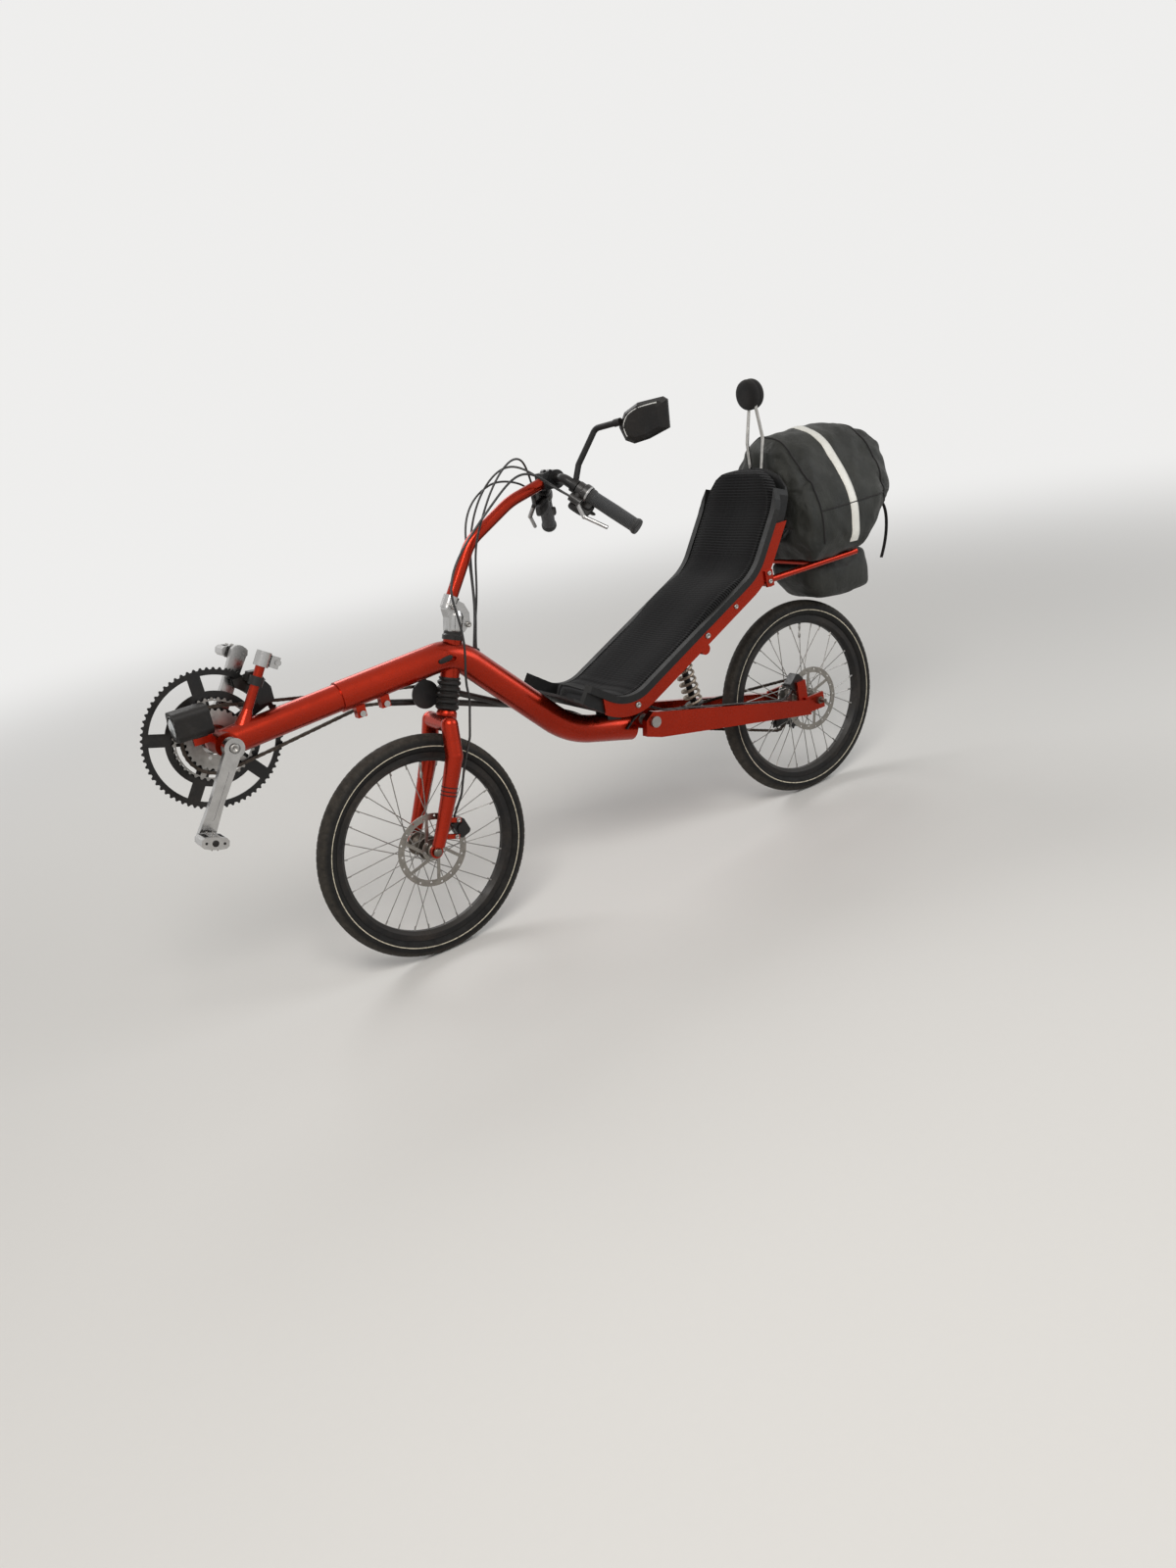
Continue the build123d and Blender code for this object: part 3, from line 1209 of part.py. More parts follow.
def rear_caliper():
    turn = 41.0
    x = axle_rear.X + caliper_reach * math.sin(rad(turn))
    z = axle_rear.Z + caliper_reach * math.cos(rad(turn))
    return caliper((x, z), turn, rear_rotor_y, 0.0)


def rear_derailleur():
    """Hanger, knuckle, body and a long cage with two toothed pulleys."""
    body = None
    cage_half = 7.0
    for y in (chain_y - cage_half, chain_y + cage_half - 2.0):
        plate = rod_plate(guide_pulley_x, guide_pulley_z, tension_pulley_x, tension_pulley_z, 9.0, y, y + 2.0)
        body = plate if body is None else body + plate
    for x, z in ((guide_pulley_x, guide_pulley_z), (tension_pulley_x, tension_pulley_z)):
        body = body + toothed_disc(jockey_tip, 3.9, x, z, chain_y - 1.2, chain_y + 1.2)
        body = body + y_rod(4.0, x, z, chain_y - cage_half, chain_y + cage_half)
    hanger_x = guide_pulley_x - 6.0
    hanger = solid_box(hanger_x - 10.0, hanger_x + 10.0, -hub_half - dropout_thickness, -hub_half, guide_pulley_z + 4.0,
                       dropout_low)
    knuckle = y_rod(10.0, guide_pulley_x, guide_pulley_z, -hub_half, chain_y - cage_half)
    arm = rod_plate(guide_pulley_x, guide_pulley_z, guide_pulley_x - 14.0, guide_pulley_z + 24.0, 11.0, -hub_half + 0.5, -54.0)
    return body + hanger + knuckle + arm


def cassette():
    """Toothed sprockets from the smallest outside to the largest, on a carrier."""
    body = y_rod(19.0, axle_rear.X, axle_rear.Z, chain_y - 8.0, -22.0)
    for i, tip in enumerate(sprocket_tips):
        y = chain_y - sprocket_pitch + sprocket_pitch * i
        body = body + toothed_disc(tip, 10.0, axle_rear.X, axle_rear.Z, y - 0.9, y + 0.9)
    return body - y_rod(hub_barrel + 0.2, axle_rear.X, axle_rear.Z, -90.0, 0.0)


def front_brake_hose():
    """Hose from the front caliper up behind the left leg to the crown."""
    turn = rad(head_tilt - 90.0)
    centre = on_steer(fork_rake - caliper_reach * math.cos(rad(40.0)), 45.0, caliper_reach * math.sin(rad(40.0)))
    way = Vector(math.cos(turn), 0, -math.sin(turn))
    start = centre + way * (caliper_length / 2.0 + running_gap)
    points = [tuple(start), tuple(start + way * 10.0), leg_point(-27.0, 46.5, 122.0), leg_point(-26.4, 49.0, 182.0),
              leg_point(-34.6, 48.0, 245.0), leg_point(-30.0, 46.0, 300.0)]
    return bent_tube(points, [8.0, 30.0, 40.0, 40.0], hose_radius)


def rear_brake_hose():
    """Hose from the rear caliper along the left arm's top to the main tube's tail."""
    turn = 41.0
    mouth_y = 54.0
    x = axle_rear.X + caliper_reach * math.sin(rad(turn)) + (caliper_length / 2.0 + running_gap) * math.cos(rad(turn))
    z = axle_rear.Z + caliper_reach * math.cos(rad(turn)) - (caliper_length / 2.0 + running_gap) * math.sin(rad(turn))
    heel_x = pivot_x - 18.0
    heel_z = pivot_z + 18.0
    slope = (heel_z - arm_end_high) / (heel_x - arm_end_x)
    rest = (hose_radius + running_gap) * math.hypot(1.0, slope)

    def arm_top(px):
        return arm_end_high + (px - arm_end_x) * slope + rest

    over = arm_inner + arm_width / 2.0
    points = [(x, mouth_y, z), (axle_rear.X + 81.0, 56.0, wheel_radius + 33.0), (axle_rear.X + 116.0, over, arm_top(axle_rear.X + 116.0)),
              (heel_x - 16.0, over, arm_top(heel_x - 16.0)), (pivot_x - 8.0, 48.0, pivot_z + 31.0),
              (-560.0, main_tube_radius + hose_radius + 1.0, 358.0), (-538.0, main_tube_radius + hose_radius + running_gap, 341.0)]
    return bent_tube(points, [16.0, 25.0, 16.0, 14.0, 12.0], hose_radius)


nodes = {
    "main_tube": main_tube,
    "headset": headset,
    "boom": boom,
    "boom_bolts": boom_bolts,
    "post_clamp": post_clamp,
    "front_derailleur": front_derailleur,
    "lamp": lamp,
    "seat_shell": seat_shell,
    "seat_rails": seat_rails,
    "seat_pad": seat_pad,
    "seat_block": seat_block,
    "seat_stay": seat_stay,
    "headrest_rods": headrest_rods,
    "headrest_pad": headrest_pad,
    "bag": bag,
    "bag_flap": bag_flap,
    "rack": rack,
    "swingarm": swingarm,
    "pivot_axle": pivot_axle,
    "rear_axle": rear_axle,
    "shock_body": shock_body,
    "shock_spring": shock_spring,
    "chain": chain,
    "chain_tubes": chain_tubes,
    "idlers": idlers,
    "idler_studs": idler_studs,
    "rear_derailleur": rear_derailleur,
    "rear_caliper": rear_caliper,
    "rear_brake_hose": rear_brake_hose,
    "fork": fork,
    "bellows": bellows,
    "stem": stem,
    "riser": riser,
    "handlebar": handlebar,
    "bar_clamp": bar_clamp,
    "grips": grips,
    "brake_levers": brake_levers,
    "mirror_arm": mirror_arm,
    "mirror_head": mirror_head,
    "front_caliper": front_caliper,
    "front_brake_hose": front_brake_hose,
    "front_tyre": lambda: tyre(axle_front),
    "front_rim": lambda: rim(axle_front),
    "front_spokes": lambda: spokes(axle_front, front_flanges),
    "front_hub": lambda: hub(axle_front, front_flanges, fork_half),
    "front_rotor": lambda: rotor(axle_front, front_rotor_y, rotor_radius),
    "rear_tyre": lambda: tyre(axle_rear),
    "rear_rim": lambda: rim(axle_rear),
    "rear_spokes": lambda: spokes(axle_rear, rear_flanges),
    "rear_hub": lambda: hub(axle_rear, rear_flanges, hub_half),
    "rear_rotor": lambda: rotor(axle_rear, rear_rotor_y, rotor_radius),
    "cassette": cassette,
    "crankset": crankset,
    "outer_chainring": outer_chainring,
    "inner_chainrings": inner_chainrings,
    "pedal_left": lambda: pedal(1),
    "pedal_right": lambda: pedal(-1),
}

os.makedirs("parts", exist_ok=True)
rider_seat = Location((-rider_x, 0, -rider_z))
for name, make in nodes.items():
    export_step(rider_seat * make(), f"parts/{name}.step")
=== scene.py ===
import math

import bmesh
import bpy
import numpy as np
from bpy.props import FloatProperty, FloatVectorProperty, IntProperty, PointerProperty
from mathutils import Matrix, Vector


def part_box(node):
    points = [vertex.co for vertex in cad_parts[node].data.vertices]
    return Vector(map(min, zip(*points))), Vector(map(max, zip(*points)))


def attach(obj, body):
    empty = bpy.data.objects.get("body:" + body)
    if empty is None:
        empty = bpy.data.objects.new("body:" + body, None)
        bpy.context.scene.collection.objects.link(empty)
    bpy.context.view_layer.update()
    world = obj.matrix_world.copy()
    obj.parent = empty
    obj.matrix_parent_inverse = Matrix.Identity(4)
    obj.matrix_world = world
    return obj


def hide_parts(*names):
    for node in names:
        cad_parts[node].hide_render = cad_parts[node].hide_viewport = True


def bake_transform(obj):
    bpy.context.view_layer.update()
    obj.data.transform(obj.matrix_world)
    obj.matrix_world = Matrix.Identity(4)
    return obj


bl_info = {
    "name": "Recumbent bicycle looks",
    "version": (1, 0, 0),
    "blender": (4, 5, 0),
    "location": "View3D > Sidebar > Recumbent",
    "description": "Finishes, tyres, seat pad, bag, cables and small fittings for the recumbent bicycle",
    "category": "Object",
}

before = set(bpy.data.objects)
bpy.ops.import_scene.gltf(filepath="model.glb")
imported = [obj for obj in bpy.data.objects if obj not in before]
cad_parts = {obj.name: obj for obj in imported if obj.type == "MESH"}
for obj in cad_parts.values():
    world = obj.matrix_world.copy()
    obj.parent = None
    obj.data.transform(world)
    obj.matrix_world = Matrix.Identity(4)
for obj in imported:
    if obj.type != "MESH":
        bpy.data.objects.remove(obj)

# Sizes and places

mm = 0.001
tyre_low, tyre_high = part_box("front_tyre")
rear_low, rear_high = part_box("rear_tyre")
floor_z = tyre_low.z
wheel_radius = (tyre_high.z - tyre_low.z) / 2
foot = np.array([(tyre_low.x + tyre_high.x) / 2, 0, floor_z])
front_axle = foot + [0, 0, wheel_radius]
rear_axle = np.array([(rear_low.x + rear_high.x) / 2, 0, floor_z + wheel_radius])


def at(x, y, z):
    """Places in metres from millimetres ahead of, left of and above the floor point under the front axle."""
    x, y, z = np.broadcast_arrays(np.asarray(x, float), np.asarray(y, float), np.asarray(z, float))
    return foot + np.stack([x, y, z], axis=-1) * mm


def unit(ways):
    """Directions brought to length one."""
    ways = np.asarray(ways, float)
    return ways / np.maximum(np.linalg.norm(ways, axis=-1, keepdims=True), 1e-9)


# Steering axis, tilted back, with the front axle so far ahead of it
head_tilt = math.radians(19.5)
fork_offset = 25.5
steer_up = np.array([-math.sin(head_tilt), 0, math.cos(head_tilt)])
steer_fore = np.array([math.cos(head_tilt), 0, math.sin(head_tilt)])
steer_foot = np.array([0, 0, wheel_radius / mm]) - steer_fore * fork_offset

# Left arm of the bar, from its end to its knee
bar_end = np.array([-565.0, 176.0, 806.0])
bar_knee = np.array([-490.0, 46.0, 925.0])
bar_way = unit(bar_knee - bar_end)

# Crank: its middle, the arm's length, the left arm's swing, and the left pedal's tilt and reach
crank_x, crank_z = 355.0, 600.0
crank_length = 175.0
crank_swing = math.radians(-56.0)
pedal_tilt = math.radians(20.0)
pedal_reach = 109.0


def on_steer(n, y, s):
    """Place ahead of, left of and up the steering axis, in the same millimetres as at() takes."""
    return steer_foot + steer_fore * n + np.array([0, y, 0]) + steer_up * s


def bar_place(side, along, fore):
    """Place on the left (1) or right (-1) arm of the bar, so far from its end, moved by fore."""
    return at(*((bar_end + bar_way * along) * [1, side, 1] + fore))


def linear(red, green, blue):
    """Linear colour from the 0 to 255 values that a screen shows."""
    values = np.array([red, green, blue]) / 255
    return tuple(np.where(values <= 0.04045, values / 12.92, ((values + 0.055) / 1.055) ** 2.4))


# Curves

def ease(value, low, high):
    """0 below low, 1 above high and a smooth rise between them."""
    t = np.clip((value - low) / (high - low), 0, 1)
    return t * t * (3 - 2 * t)


def power(value, exponent):
    """Signed power, which squares up the corners of a circle or lets them sag."""
    return np.sign(value) * np.abs(value) ** exponent


def bell(value, width):
    """1 at zero, falling off as the exponential of the square of the value over a width."""
    return np.exp(-(value / width) ** 2)


def length_along(line):
    """Distance along a line at each of its points."""
    return np.concatenate([[0], np.cumsum(np.linalg.norm(np.diff(line, axis=0), axis=1))])


def read_evenly(line, count):
    """A line read again at so many even distances along it."""
    run = length_along(line)
    even = np.linspace(0, run[-1], count)
    return np.stack([np.interp(even, run, values) for values in np.transpose(line)], axis=-1)


def soft_line(control, count):
    """Evenly read cubic spline that starts and ends on its control points and passes near the others.

    Four neighbouring points are blended by the cubic's usual weights, with the end points tripled.
    """
    control = np.concatenate([control[:1]] * 2 + [control] + [control[-1:]] * 2)
    place = np.linspace(0, len(control) - 3, count * 4)
    first = np.clip(place.astype(int), 0, len(control) - 4)
    t = (place - first)[:, None]
    weights = [(1 - t) ** 3, 3 * t ** 3 - 6 * t ** 2 + 4, -3 * t ** 3 + 3 * t ** 2 + 3 * t + 1, t ** 3]
    return read_evenly(sum(w * control[first + k] for k, w in enumerate(weights)) / 6, count)


def side_path(corners, bends, step):
    """Points, headings and distances of straight runs joined by arcs in the side view, a fixed step apart.

    Each corner of (x, z) is cut back by its bend's radius times the tangent of half its turn, and
    the arc is drawn between the two cuts. The result is read again at even distances.
    """
    corners = np.asarray(corners, float)
    line = [corners[0]]
    for before, corner, after, radius in zip(corners[:-2], corners[1:-1], corners[2:], bends):
        come, leave = unit(corner - before), unit(after - corner)
        turn = math.atan2(come[0] * leave[1] - come[1] * leave[0], come @ leave)
        start = corner - come * radius * math.tan(abs(turn) / 2)
        centre = start + np.array([-come[1], come[0]]) * radius * np.sign(turn)
        spoke = start - centre
        swing = np.linspace(0, turn, 24)[:, None]
        line.extend(centre + np.cos(swing) * spoke + np.sin(swing) * [-spoke[1], spoke[0]])
    line = np.array(line + [corners[-1]])
    length = length_along(line)[-1]
    count = int(length / step) + 1
    points = read_evenly(line, count)
    return points, unit(np.gradient(points, axis=0)), np.linspace(0, length, count)


def rounded_loop(corners, passes, count):
    """Closed line through corners, read evenly and rounded by averaging neighbours."""
    corners = np.asarray(corners, float)
    loop = read_evenly(np.vstack([corners, corners[:1]]), count + 1)[:-1]
    for _ in range(passes):
        loop = (np.roll(loop, 1, axis=0) + 2 * loop + np.roll(loop, -1, axis=0)) / 4
    return np.vstack([loop, loop[:1]])


# Grids of points

def capped(line, grid):
    """Grid closed at both ends by rings of one point, the first and the last of a line."""
    ends = np.broadcast_to(line[[0, -1]][:, None], (2, *grid.shape[1:]))
    return np.concatenate([ends[:1], grid, ends[1:]])


def turned(profile, centre, axis, sides=32):
    """Grid of a profile of (radius, height) pairs in millimetres, turned about an axis through a centre."""
    axis = unit(axis)
    side = unit(np.cross(axis, [0.0, 0, 1] if abs(axis[2]) < 0.9 else [1.0, 0, 0]))
    radius, height = np.transpose(profile) * mm
    angle = np.linspace(0, 2 * math.pi, sides + 1)[:, None]
    ring = np.cos(angle) * side + np.sin(angle) * np.cross(axis, side)
    return np.asarray(centre) + radius[:, None, None] * ring + height[:, None, None] * axis


def pipe(line, radius, sides=10, side=(0, 1, 0)):
    """Grid of a round pipe along a line: circles square to it, turned from one side direction."""
    heading = unit(np.gradient(line, axis=0))
    first = unit(np.cross(heading, side))
    angle = np.linspace(0, 2 * math.pi, sides + 1)[None, :, None]
    ring = np.cos(angle) * first[:, None] + np.sin(angle) * np.cross(heading, first)[:, None]
    return capped(line, line[:, None] + ring * radius)


def rounded_block(centre, size, forward, sharp=0.35):
    """Grid of a block of so many millimetres: a ball whose sines and cosines are raised to a small power."""
    forward = unit(forward)
    left = np.array([0.0, 1, 0])
    up = unit(np.cross(forward, left))
    rise = np.linspace(-math.pi / 2, math.pi / 2, 19)[:, None]
    turn = np.linspace(0, 2 * math.pi, 37)[None]
    length, width, height = np.asarray(size) * mm / 2
    x = power(np.cos(rise), sharp) * power(np.cos(turn), sharp) * length
    y = power(np.cos(rise), sharp) * power(np.sin(turn), sharp) * width
    z = power(np.sin(rise), sharp) * np.ones_like(turn) * height
    return np.asarray(centre) + x[..., None] * forward + y[..., None] * left + z[..., None] * up


# Meshes

def grid_faces(rows, columns):
    """Quads between neighbouring points of a grid of rows and columns."""
    r, c = np.meshgrid(np.arange(rows - 1), np.arange(columns - 1), indexing="ij")
    first = (r * columns + c).ravel()
    return np.stack([first, first + columns, first + columns + 1, first + 1], axis=-1)


def show(name, points, faces, uv, smooth):
    """Object from points, faces and a UV pair for each point, doubled points merged and normals outwards."""
    mesh = bpy.data.meshes.new(name)
    mesh.from_pydata(np.asarray(points, float).reshape(-1, 3).tolist(), [], np.asarray(faces).tolist())
    if uv is not None:
        corners = np.empty(len(mesh.loops), np.int32)
        mesh.loops.foreach_get("vertex_index", corners)
        layer = mesh.uv_layers.new(name="UVMap")
        layer.data.foreach_set("uv", np.asarray(uv, float).reshape(-1, 2)[corners].ravel())
    shape = bmesh.new()
    shape.from_mesh(mesh)
    bmesh.ops.remove_doubles(shape, verts=shape.verts, dist=2e-6)
    bmesh.ops.dissolve_degenerate(shape, dist=1e-7, edges=shape.edges)
    bmesh.ops.recalc_face_normals(shape, faces=shape.faces)
    shape.to_mesh(mesh)
    shape.free()
    mesh.polygons.foreach_set("use_smooth", [smooth] * len(mesh.polygons))
    piece = bpy.data.objects.new(name, mesh)
    bpy.context.collection.objects.link(piece)
    return piece


def surface(name, points, smooth=True):
    """Object from a grid of points, with its UV running along the rows and across the columns."""
    rows, columns = points.shape[:2]
    u, v = np.meshgrid(np.linspace(0, 1, rows), np.linspace(0, 1, columns), indexing="ij")
    return show(name, points, grid_faces(rows, columns), np.stack([u, v], axis=-1), smooth)


def joined(name, grids, smooth=True):
    """One object of several grids."""
    points, faces, first = [], [], 0
    for grid in grids:
        rows, columns = grid.shape[:2]
        points.append(grid.reshape(-1, 3))
        faces.append(grid_faces(rows, columns) + first)
        first += rows * columns
    return show(name, np.concatenate(points), np.concatenate(faces), None, smooth)


def read_points(piece, what="co"):
    """Places, or normals, of a piece's points."""
    points = np.empty(len(piece.data.vertices) * 3)
    piece.data.vertices.foreach_get(what, points)
    return points.reshape(-1, 3)


def write_points(piece, points):
    """Moves a piece's points to new places."""
    piece.data.vertices.foreach_set("co", np.asarray(points, float).ravel())
    piece.data.update()


def apply_modifiers(piece):
    """Puts the shape that a piece's modifiers give it into its mesh, and takes them off."""
    bpy.context.view_layer.update()
    shaped = piece.evaluated_get(bpy.context.evaluated_depsgraph_get())
    mesh = bpy.data.meshes.new_from_object(shaped)
    piece.modifiers.clear()
    old = piece.data
    piece.data = mesh
    bpy.data.meshes.remove(old)


def dressed(piece, body, look, slot, *nodes):
    """Gives a piece its finish and body, and hides the nodes that it stands for. The slot is not used."""
    piece.data.materials.clear()
    piece.data.materials.append(finish(look))
    if nodes:
        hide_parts(*nodes)
    if body:
        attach(piece, body)
    return piece


def fitted(name, shape, body, look, slot, *nodes, smooth=True):
    """New piece from one grid or a list of grids, dressed in a finish and riding on its body."""
    piece = joined(name, shape, smooth) if isinstance(shape, list) else surface(name, shape, smooth)
    return dressed(piece, body, look, slot, *nodes)


# Finishes

class Finish:
    """Node tree of one finish. Each method that adds a node gives back its output."""

    def __init__(self, name):
        self.material = bpy.data.materials.new(name)
        self.material.use_nodes = True
        self.nodes = self.material.node_tree.nodes
        self.links = self.material.node_tree.links
        self.shader = self.nodes["Principled BSDF"]
        self.place = self.nodes.new("ShaderNodeTexCoord")
        self.sizes = bpy.context.scene.recumbent_finishes

    def fill(self, node, values):
        """Links a node's sockets to outputs, or sets them to plain values."""
        for key, value in values.items():
            socket = node.inputs[key.replace("_", " ") if isinstance(key, str) else key]
            if isinstance(value, bpy.types.NodeSocket):
                self.links.new(value, socket)
            elif isinstance(value, tuple) and len(value) == 3 and len(socket.default_value) == 4:
                socket.default_value = (*value, 1.0)
            else:
                socket.default_value = value

    def add(self, kind, values, output=0, **settings):
        """Adds a node of a kind, with its settings and the values of its sockets."""
        node = self.nodes.new("ShaderNode" + kind)
        for key, value in settings.items():
            setattr(node, key, value)
        self.fill(node, values)
        return node.outputs[output]

    def coordinate(self, index, source="Object"):
        """One coordinate of the surface's point: metres on Object, 0 to 1 on UV, a share on Normal."""
        return self.add("SeparateXYZ", {"Vector": self.place.outputs[source]}, output=index)

    def stretched(self, stretch, turn=(0, 0, 0)):
        """The point's place, stretched and turned."""
        values = {"Vector": self.place.outputs["Object"], "Scale": stretch, "Rotation": turn}
        return self.add("Mapping", values)

    def noise(self, scale, detail=3.0, rough=0.55, vector=None):
        """Cloudy noise, about 0.3 to 0.7."""
        place = vector or self.place.outputs["Object"]
        return self.add("TexNoise", {"Vector": place, "Scale": scale, "Detail": detail, "Roughness": rough})

    def cells(self, scale):
        """Distance to the nearest of scattered points."""
        return self.add("TexVoronoi", {"Vector": self.place.outputs["Object"], "Scale": scale})

    def rescale(self, value, low, high, out_low=0.0, out_high=1.0):
        """A value's stretch from low to high brought to another stretch."""
        return self.add("MapRange", {"Value": value, "From_Min": low, "From_Max": high,
                                     "To_Min": out_low, "To_Max": out_high})

    def calc(self, operation, first, second=0.0):
        """One operation on two values."""
        return self.add("Math", {0: first, 1: second}, operation=operation)

    def times(self, first, second):
        """Product of two values."""
        return self.calc("MULTIPLY", first, second)

    def wave(self, value, rate):
        """Sine of a value times a rate."""
        return self.calc("SINE", self.times(value, rate))

    def off(self, value, middle):
        """How far a value is from a middle."""
        return self.calc("ABSOLUTE", self.calc("SUBTRACT", value, middle))

    def mix(self, share, first, second):
        """Colour between two colours."""
        return self.add("Mix", {0: share, 6: first, 7: second}, output=2, data_type="RGBA")

    def bump(self, height, distance, strength=1.0, normal=None):
        """Normal tilted by a height, on top of another normal where one is given."""
        values = {"Height": height, "Distance": distance, "Strength": strength}
        if normal is not None:
            values["Normal"] = normal
        return self.add("Bump", values)

    def wear(self, colour, dust, amount, scale=9.0):
        """Colour under clouds of dust that gather on what faces up."""
        cloud = self.rescale(self.noise(scale, 6.0, 0.65), 0.42, 0.72)
        fine = self.rescale(self.noise(scale * 22, 3.0, 0.6), 0.35, 0.75, 0.4, 1.0)
        share = self.times(self.times(cloud, fine), amount)
        upward = self.rescale(self.coordinate(2, "Normal"), 0.1, 0.95)
        return self.mix(self.calc("MAXIMUM", share, self.times(upward, amount * 0.5)), colour, dust)

    def done(self, **values):
        """The material, with its shader's values filled in."""
        self.fill(self.shader, values)
        return self.material


DUST = linear(128, 112, 96)
makers = {}
finishes = {}


def maker(make):
    """Enters a function that makes a finish under its own name."""
    makers[make.__name__] = make
    return make


def finish(name):
    """The material of that name, made the first time that it is asked for."""
    if name not in finishes:
        look = Finish(name)
        if name in metals:
            values = metal(look, *metals[name])
        elif name in dark_coats:
            values = dark_coat(look, *dark_coats[name])
        else:
            values = makers[name](look)
        finishes[name] = look.done(**values)
    return finishes[name]


# Bare metals: colour, roughness from and to, stretch of the grain, dirt, its colour, grain and dark share
metals = {
    "polished_aluminium": ("aluminium", 0.12, 0.30, (1, 1, 1), 0.04, DUST, 60.0, 0.80),
    "dull_steel": ("steel", 0.28, 0.52, (1, 1, 4), 0.22, DUST, 60.0, 0.62),
    "rotor_steel": (linear(150, 146, 140), 0.26, 0.45, (5, 1, 5), 0.18, linear(96, 84, 70), 90.0, 0.62),
    "dirty_spring": (linear(168, 156, 142), 0.38, 0.62, (1, 1, 1), 0.55, linear(112, 98, 82), 40.0, 0.62),
    "oiled_chain": (linear(84, 76, 70), 0.30, 0.55, (1, 1, 1), 0.60, linear(38, 30, 25), 120.0, 0.62),
    "hub_metal": (linear(120, 112, 104), 0.28, 0.50, (1, 5, 1), 0.45, linear(70, 60, 52), 70.0, 0.62),
    "bright_rod": (linear(188, 186, 182), 0.14, 0.28, (1, 1, 3), 0.05, DUST, 60.0, 0.62),
}


def metal(look, colour, rough_low, rough_high, grain, dirt, dirt_colour, scale, shade):
    """Bare metal: a fine directional grain in the roughness, smudges and dirt."""
    colour = tuple(getattr(look.sizes, colour)) if isinstance(colour, str) else colour
    lines = look.noise(scale * 6, 4.0, 0.6, look.stretched(grain))
    both = look.calc("ADD", look.times(lines, 0.5), look.times(look.noise(scale / 3, 4.0), 0.5))
    smudge = look.rescale(look.noise(scale, 5.0, 0.65), 0.35, 0.75)
    base = look.mix(smudge, colour, tuple(c * shade for c in colour))
    return dict(Base_Color=look.wear(base, dirt_colour, dirt, 14.0), Metallic=1.0,
                Roughness=look.rescale(both, 0.3, 0.7, rough_low, rough_high),
                Normal=look.bump(lines, 0.00006, 0.6))


# Dark paints and mouldings: colour, roughness from and to, dust, grain and its depth, clear coat, shine
dark_coats = {
    "black_paint": (linear(15, 15, 16), 0.28, 0.48, 0.08, 700.0, 0.00003, 0.12, 0.30),
    "black_rim": (linear(16, 16, 17), 0.34, 0.55, 0.16, 700.0, 0.00003, 0.0, 0.30),
    "black_moulding": (linear(15, 15, 16), 0.40, 0.60, 0.07, 900.0, 0.00006, 0.0, 0.30),
    "shell_gloss": (linear(20, 21, 22), 0.48, 0.66, 0.05, 300.0, 0.00002, 0.0, 0.25),
    "chain_guide": (linear(22, 21, 21), 0.35, 0.55, 0.25, 700.0, 0.00003, 0.0, 0.40),
    "guard_coat": (linear(30, 30, 31), 0.40, 0.60, 0.20, 700.0, 0.00003, 0.0, 0.40),
}


def dark_coat(look, colour, rough_low, rough_high, dust, grain, depth, coat, shine):
    """Dark paint or moulded plastic with a fine grain, scuffs and dust."""
    worn = tuple(min(1.0, c * 2.2 + 0.01) for c in colour)
    base = look.mix(look.rescale(look.noise(45.0, 6.0, 0.7), 0.55, 0.85), colour, worn)
    return dict(Base_Color=look.wear(base, DUST, dust), Specular_IOR_Level=shine, Coat_Weight=coat,
                Coat_Roughness=0.15, Normal=look.bump(look.noise(grain, 2.0), depth),
                Roughness=look.rescale(look.noise(24.0, 5.0, 0.7), 0.3, 0.75, rough_low, rough_high))


@maker
def red_lacquer(look):
    """Red metal flake under clear lacquer, with grey dust and a few stone chips."""
    colour = tuple(look.sizes.paint)
    deep = tuple(c * 0.70 for c in colour)
    bright = tuple(min(1.0, c * 1.5) for c in colour)
    flake = look.rescale(look.cells(2600.0), 0.2, 0.9)
    base = look.mix(look.rescale(look.noise(3.5, 4.0), 0.35, 0.7), deep, colour)
    base = look.mix(look.times(flake, 0.22), base, bright)
    chips = look.rescale(look.noise(210.0, 2.0, 0.5), 0.79, 0.80)
    base = look.mix(chips, base, linear(70, 62, 58))
    return dict(Base_Color=look.wear(base, linear(104, 70, 54), 0.04, 6.0), Metallic=0.88,
                Roughness=look.rescale(look.noise(30.0, 5.0, 0.7), 0.3, 0.75, 0.22, 0.36),
                Coat_Weight=0.15, Coat_Roughness=0.10, Coat_Normal=look.bump(look.noise(420.0, 2.0), 0.00008))


# Places along the bar from its end, in metres: the grip's end cap, its collar and the lever's body
grip_cap, grip_collar, lever_body = 0.010, 0.113, 0.127
grip_ring = 0.0034


def bar_distance(look):
    """Distance in metres along either arm of the bar, from its end, from Object coordinates."""
    across = look.calc("ABSOLUTE", look.coordinate(1))
    run = look.times(look.coordinate(0), float(bar_way[0]))
    run = look.calc("ADD", run, look.times(across, float(bar_way[1])))
    run = look.calc("ADD", run, look.times(look.coordinate(2), float(bar_way[2])))
    return look.calc("SUBTRACT", run, float(at(*bar_end) @ bar_way))


@maker
def grip_rubber(look):
    """Dark grey grip with fine rings across it and small bumps between."""
    along = bar_distance(look)
    rings = look.wave(along, 2 * math.pi / grip_ring)
    base = look.mix(look.rescale(rings, -0.8, 0.6), linear(30, 31, 33), linear(52, 54, 57))
    cap = look.rescale(along, grip_cap + mm, grip_cap - mm)
    collar = look.rescale(along, grip_collar - mm, grip_collar + mm)
    base = look.mix(look.calc("MAXIMUM", cap, collar), base, linear(20, 20, 21))
    normal = look.bump(rings, 0.0007, 0.8)
    return dict(Base_Color=look.wear(base, linear(104, 100, 96), 0.16, 20.0), Roughness=0.6,
                Sheen_Weight=0.15, Normal=look.bump(look.cells(520.0), 0.0003, 0.5, normal))


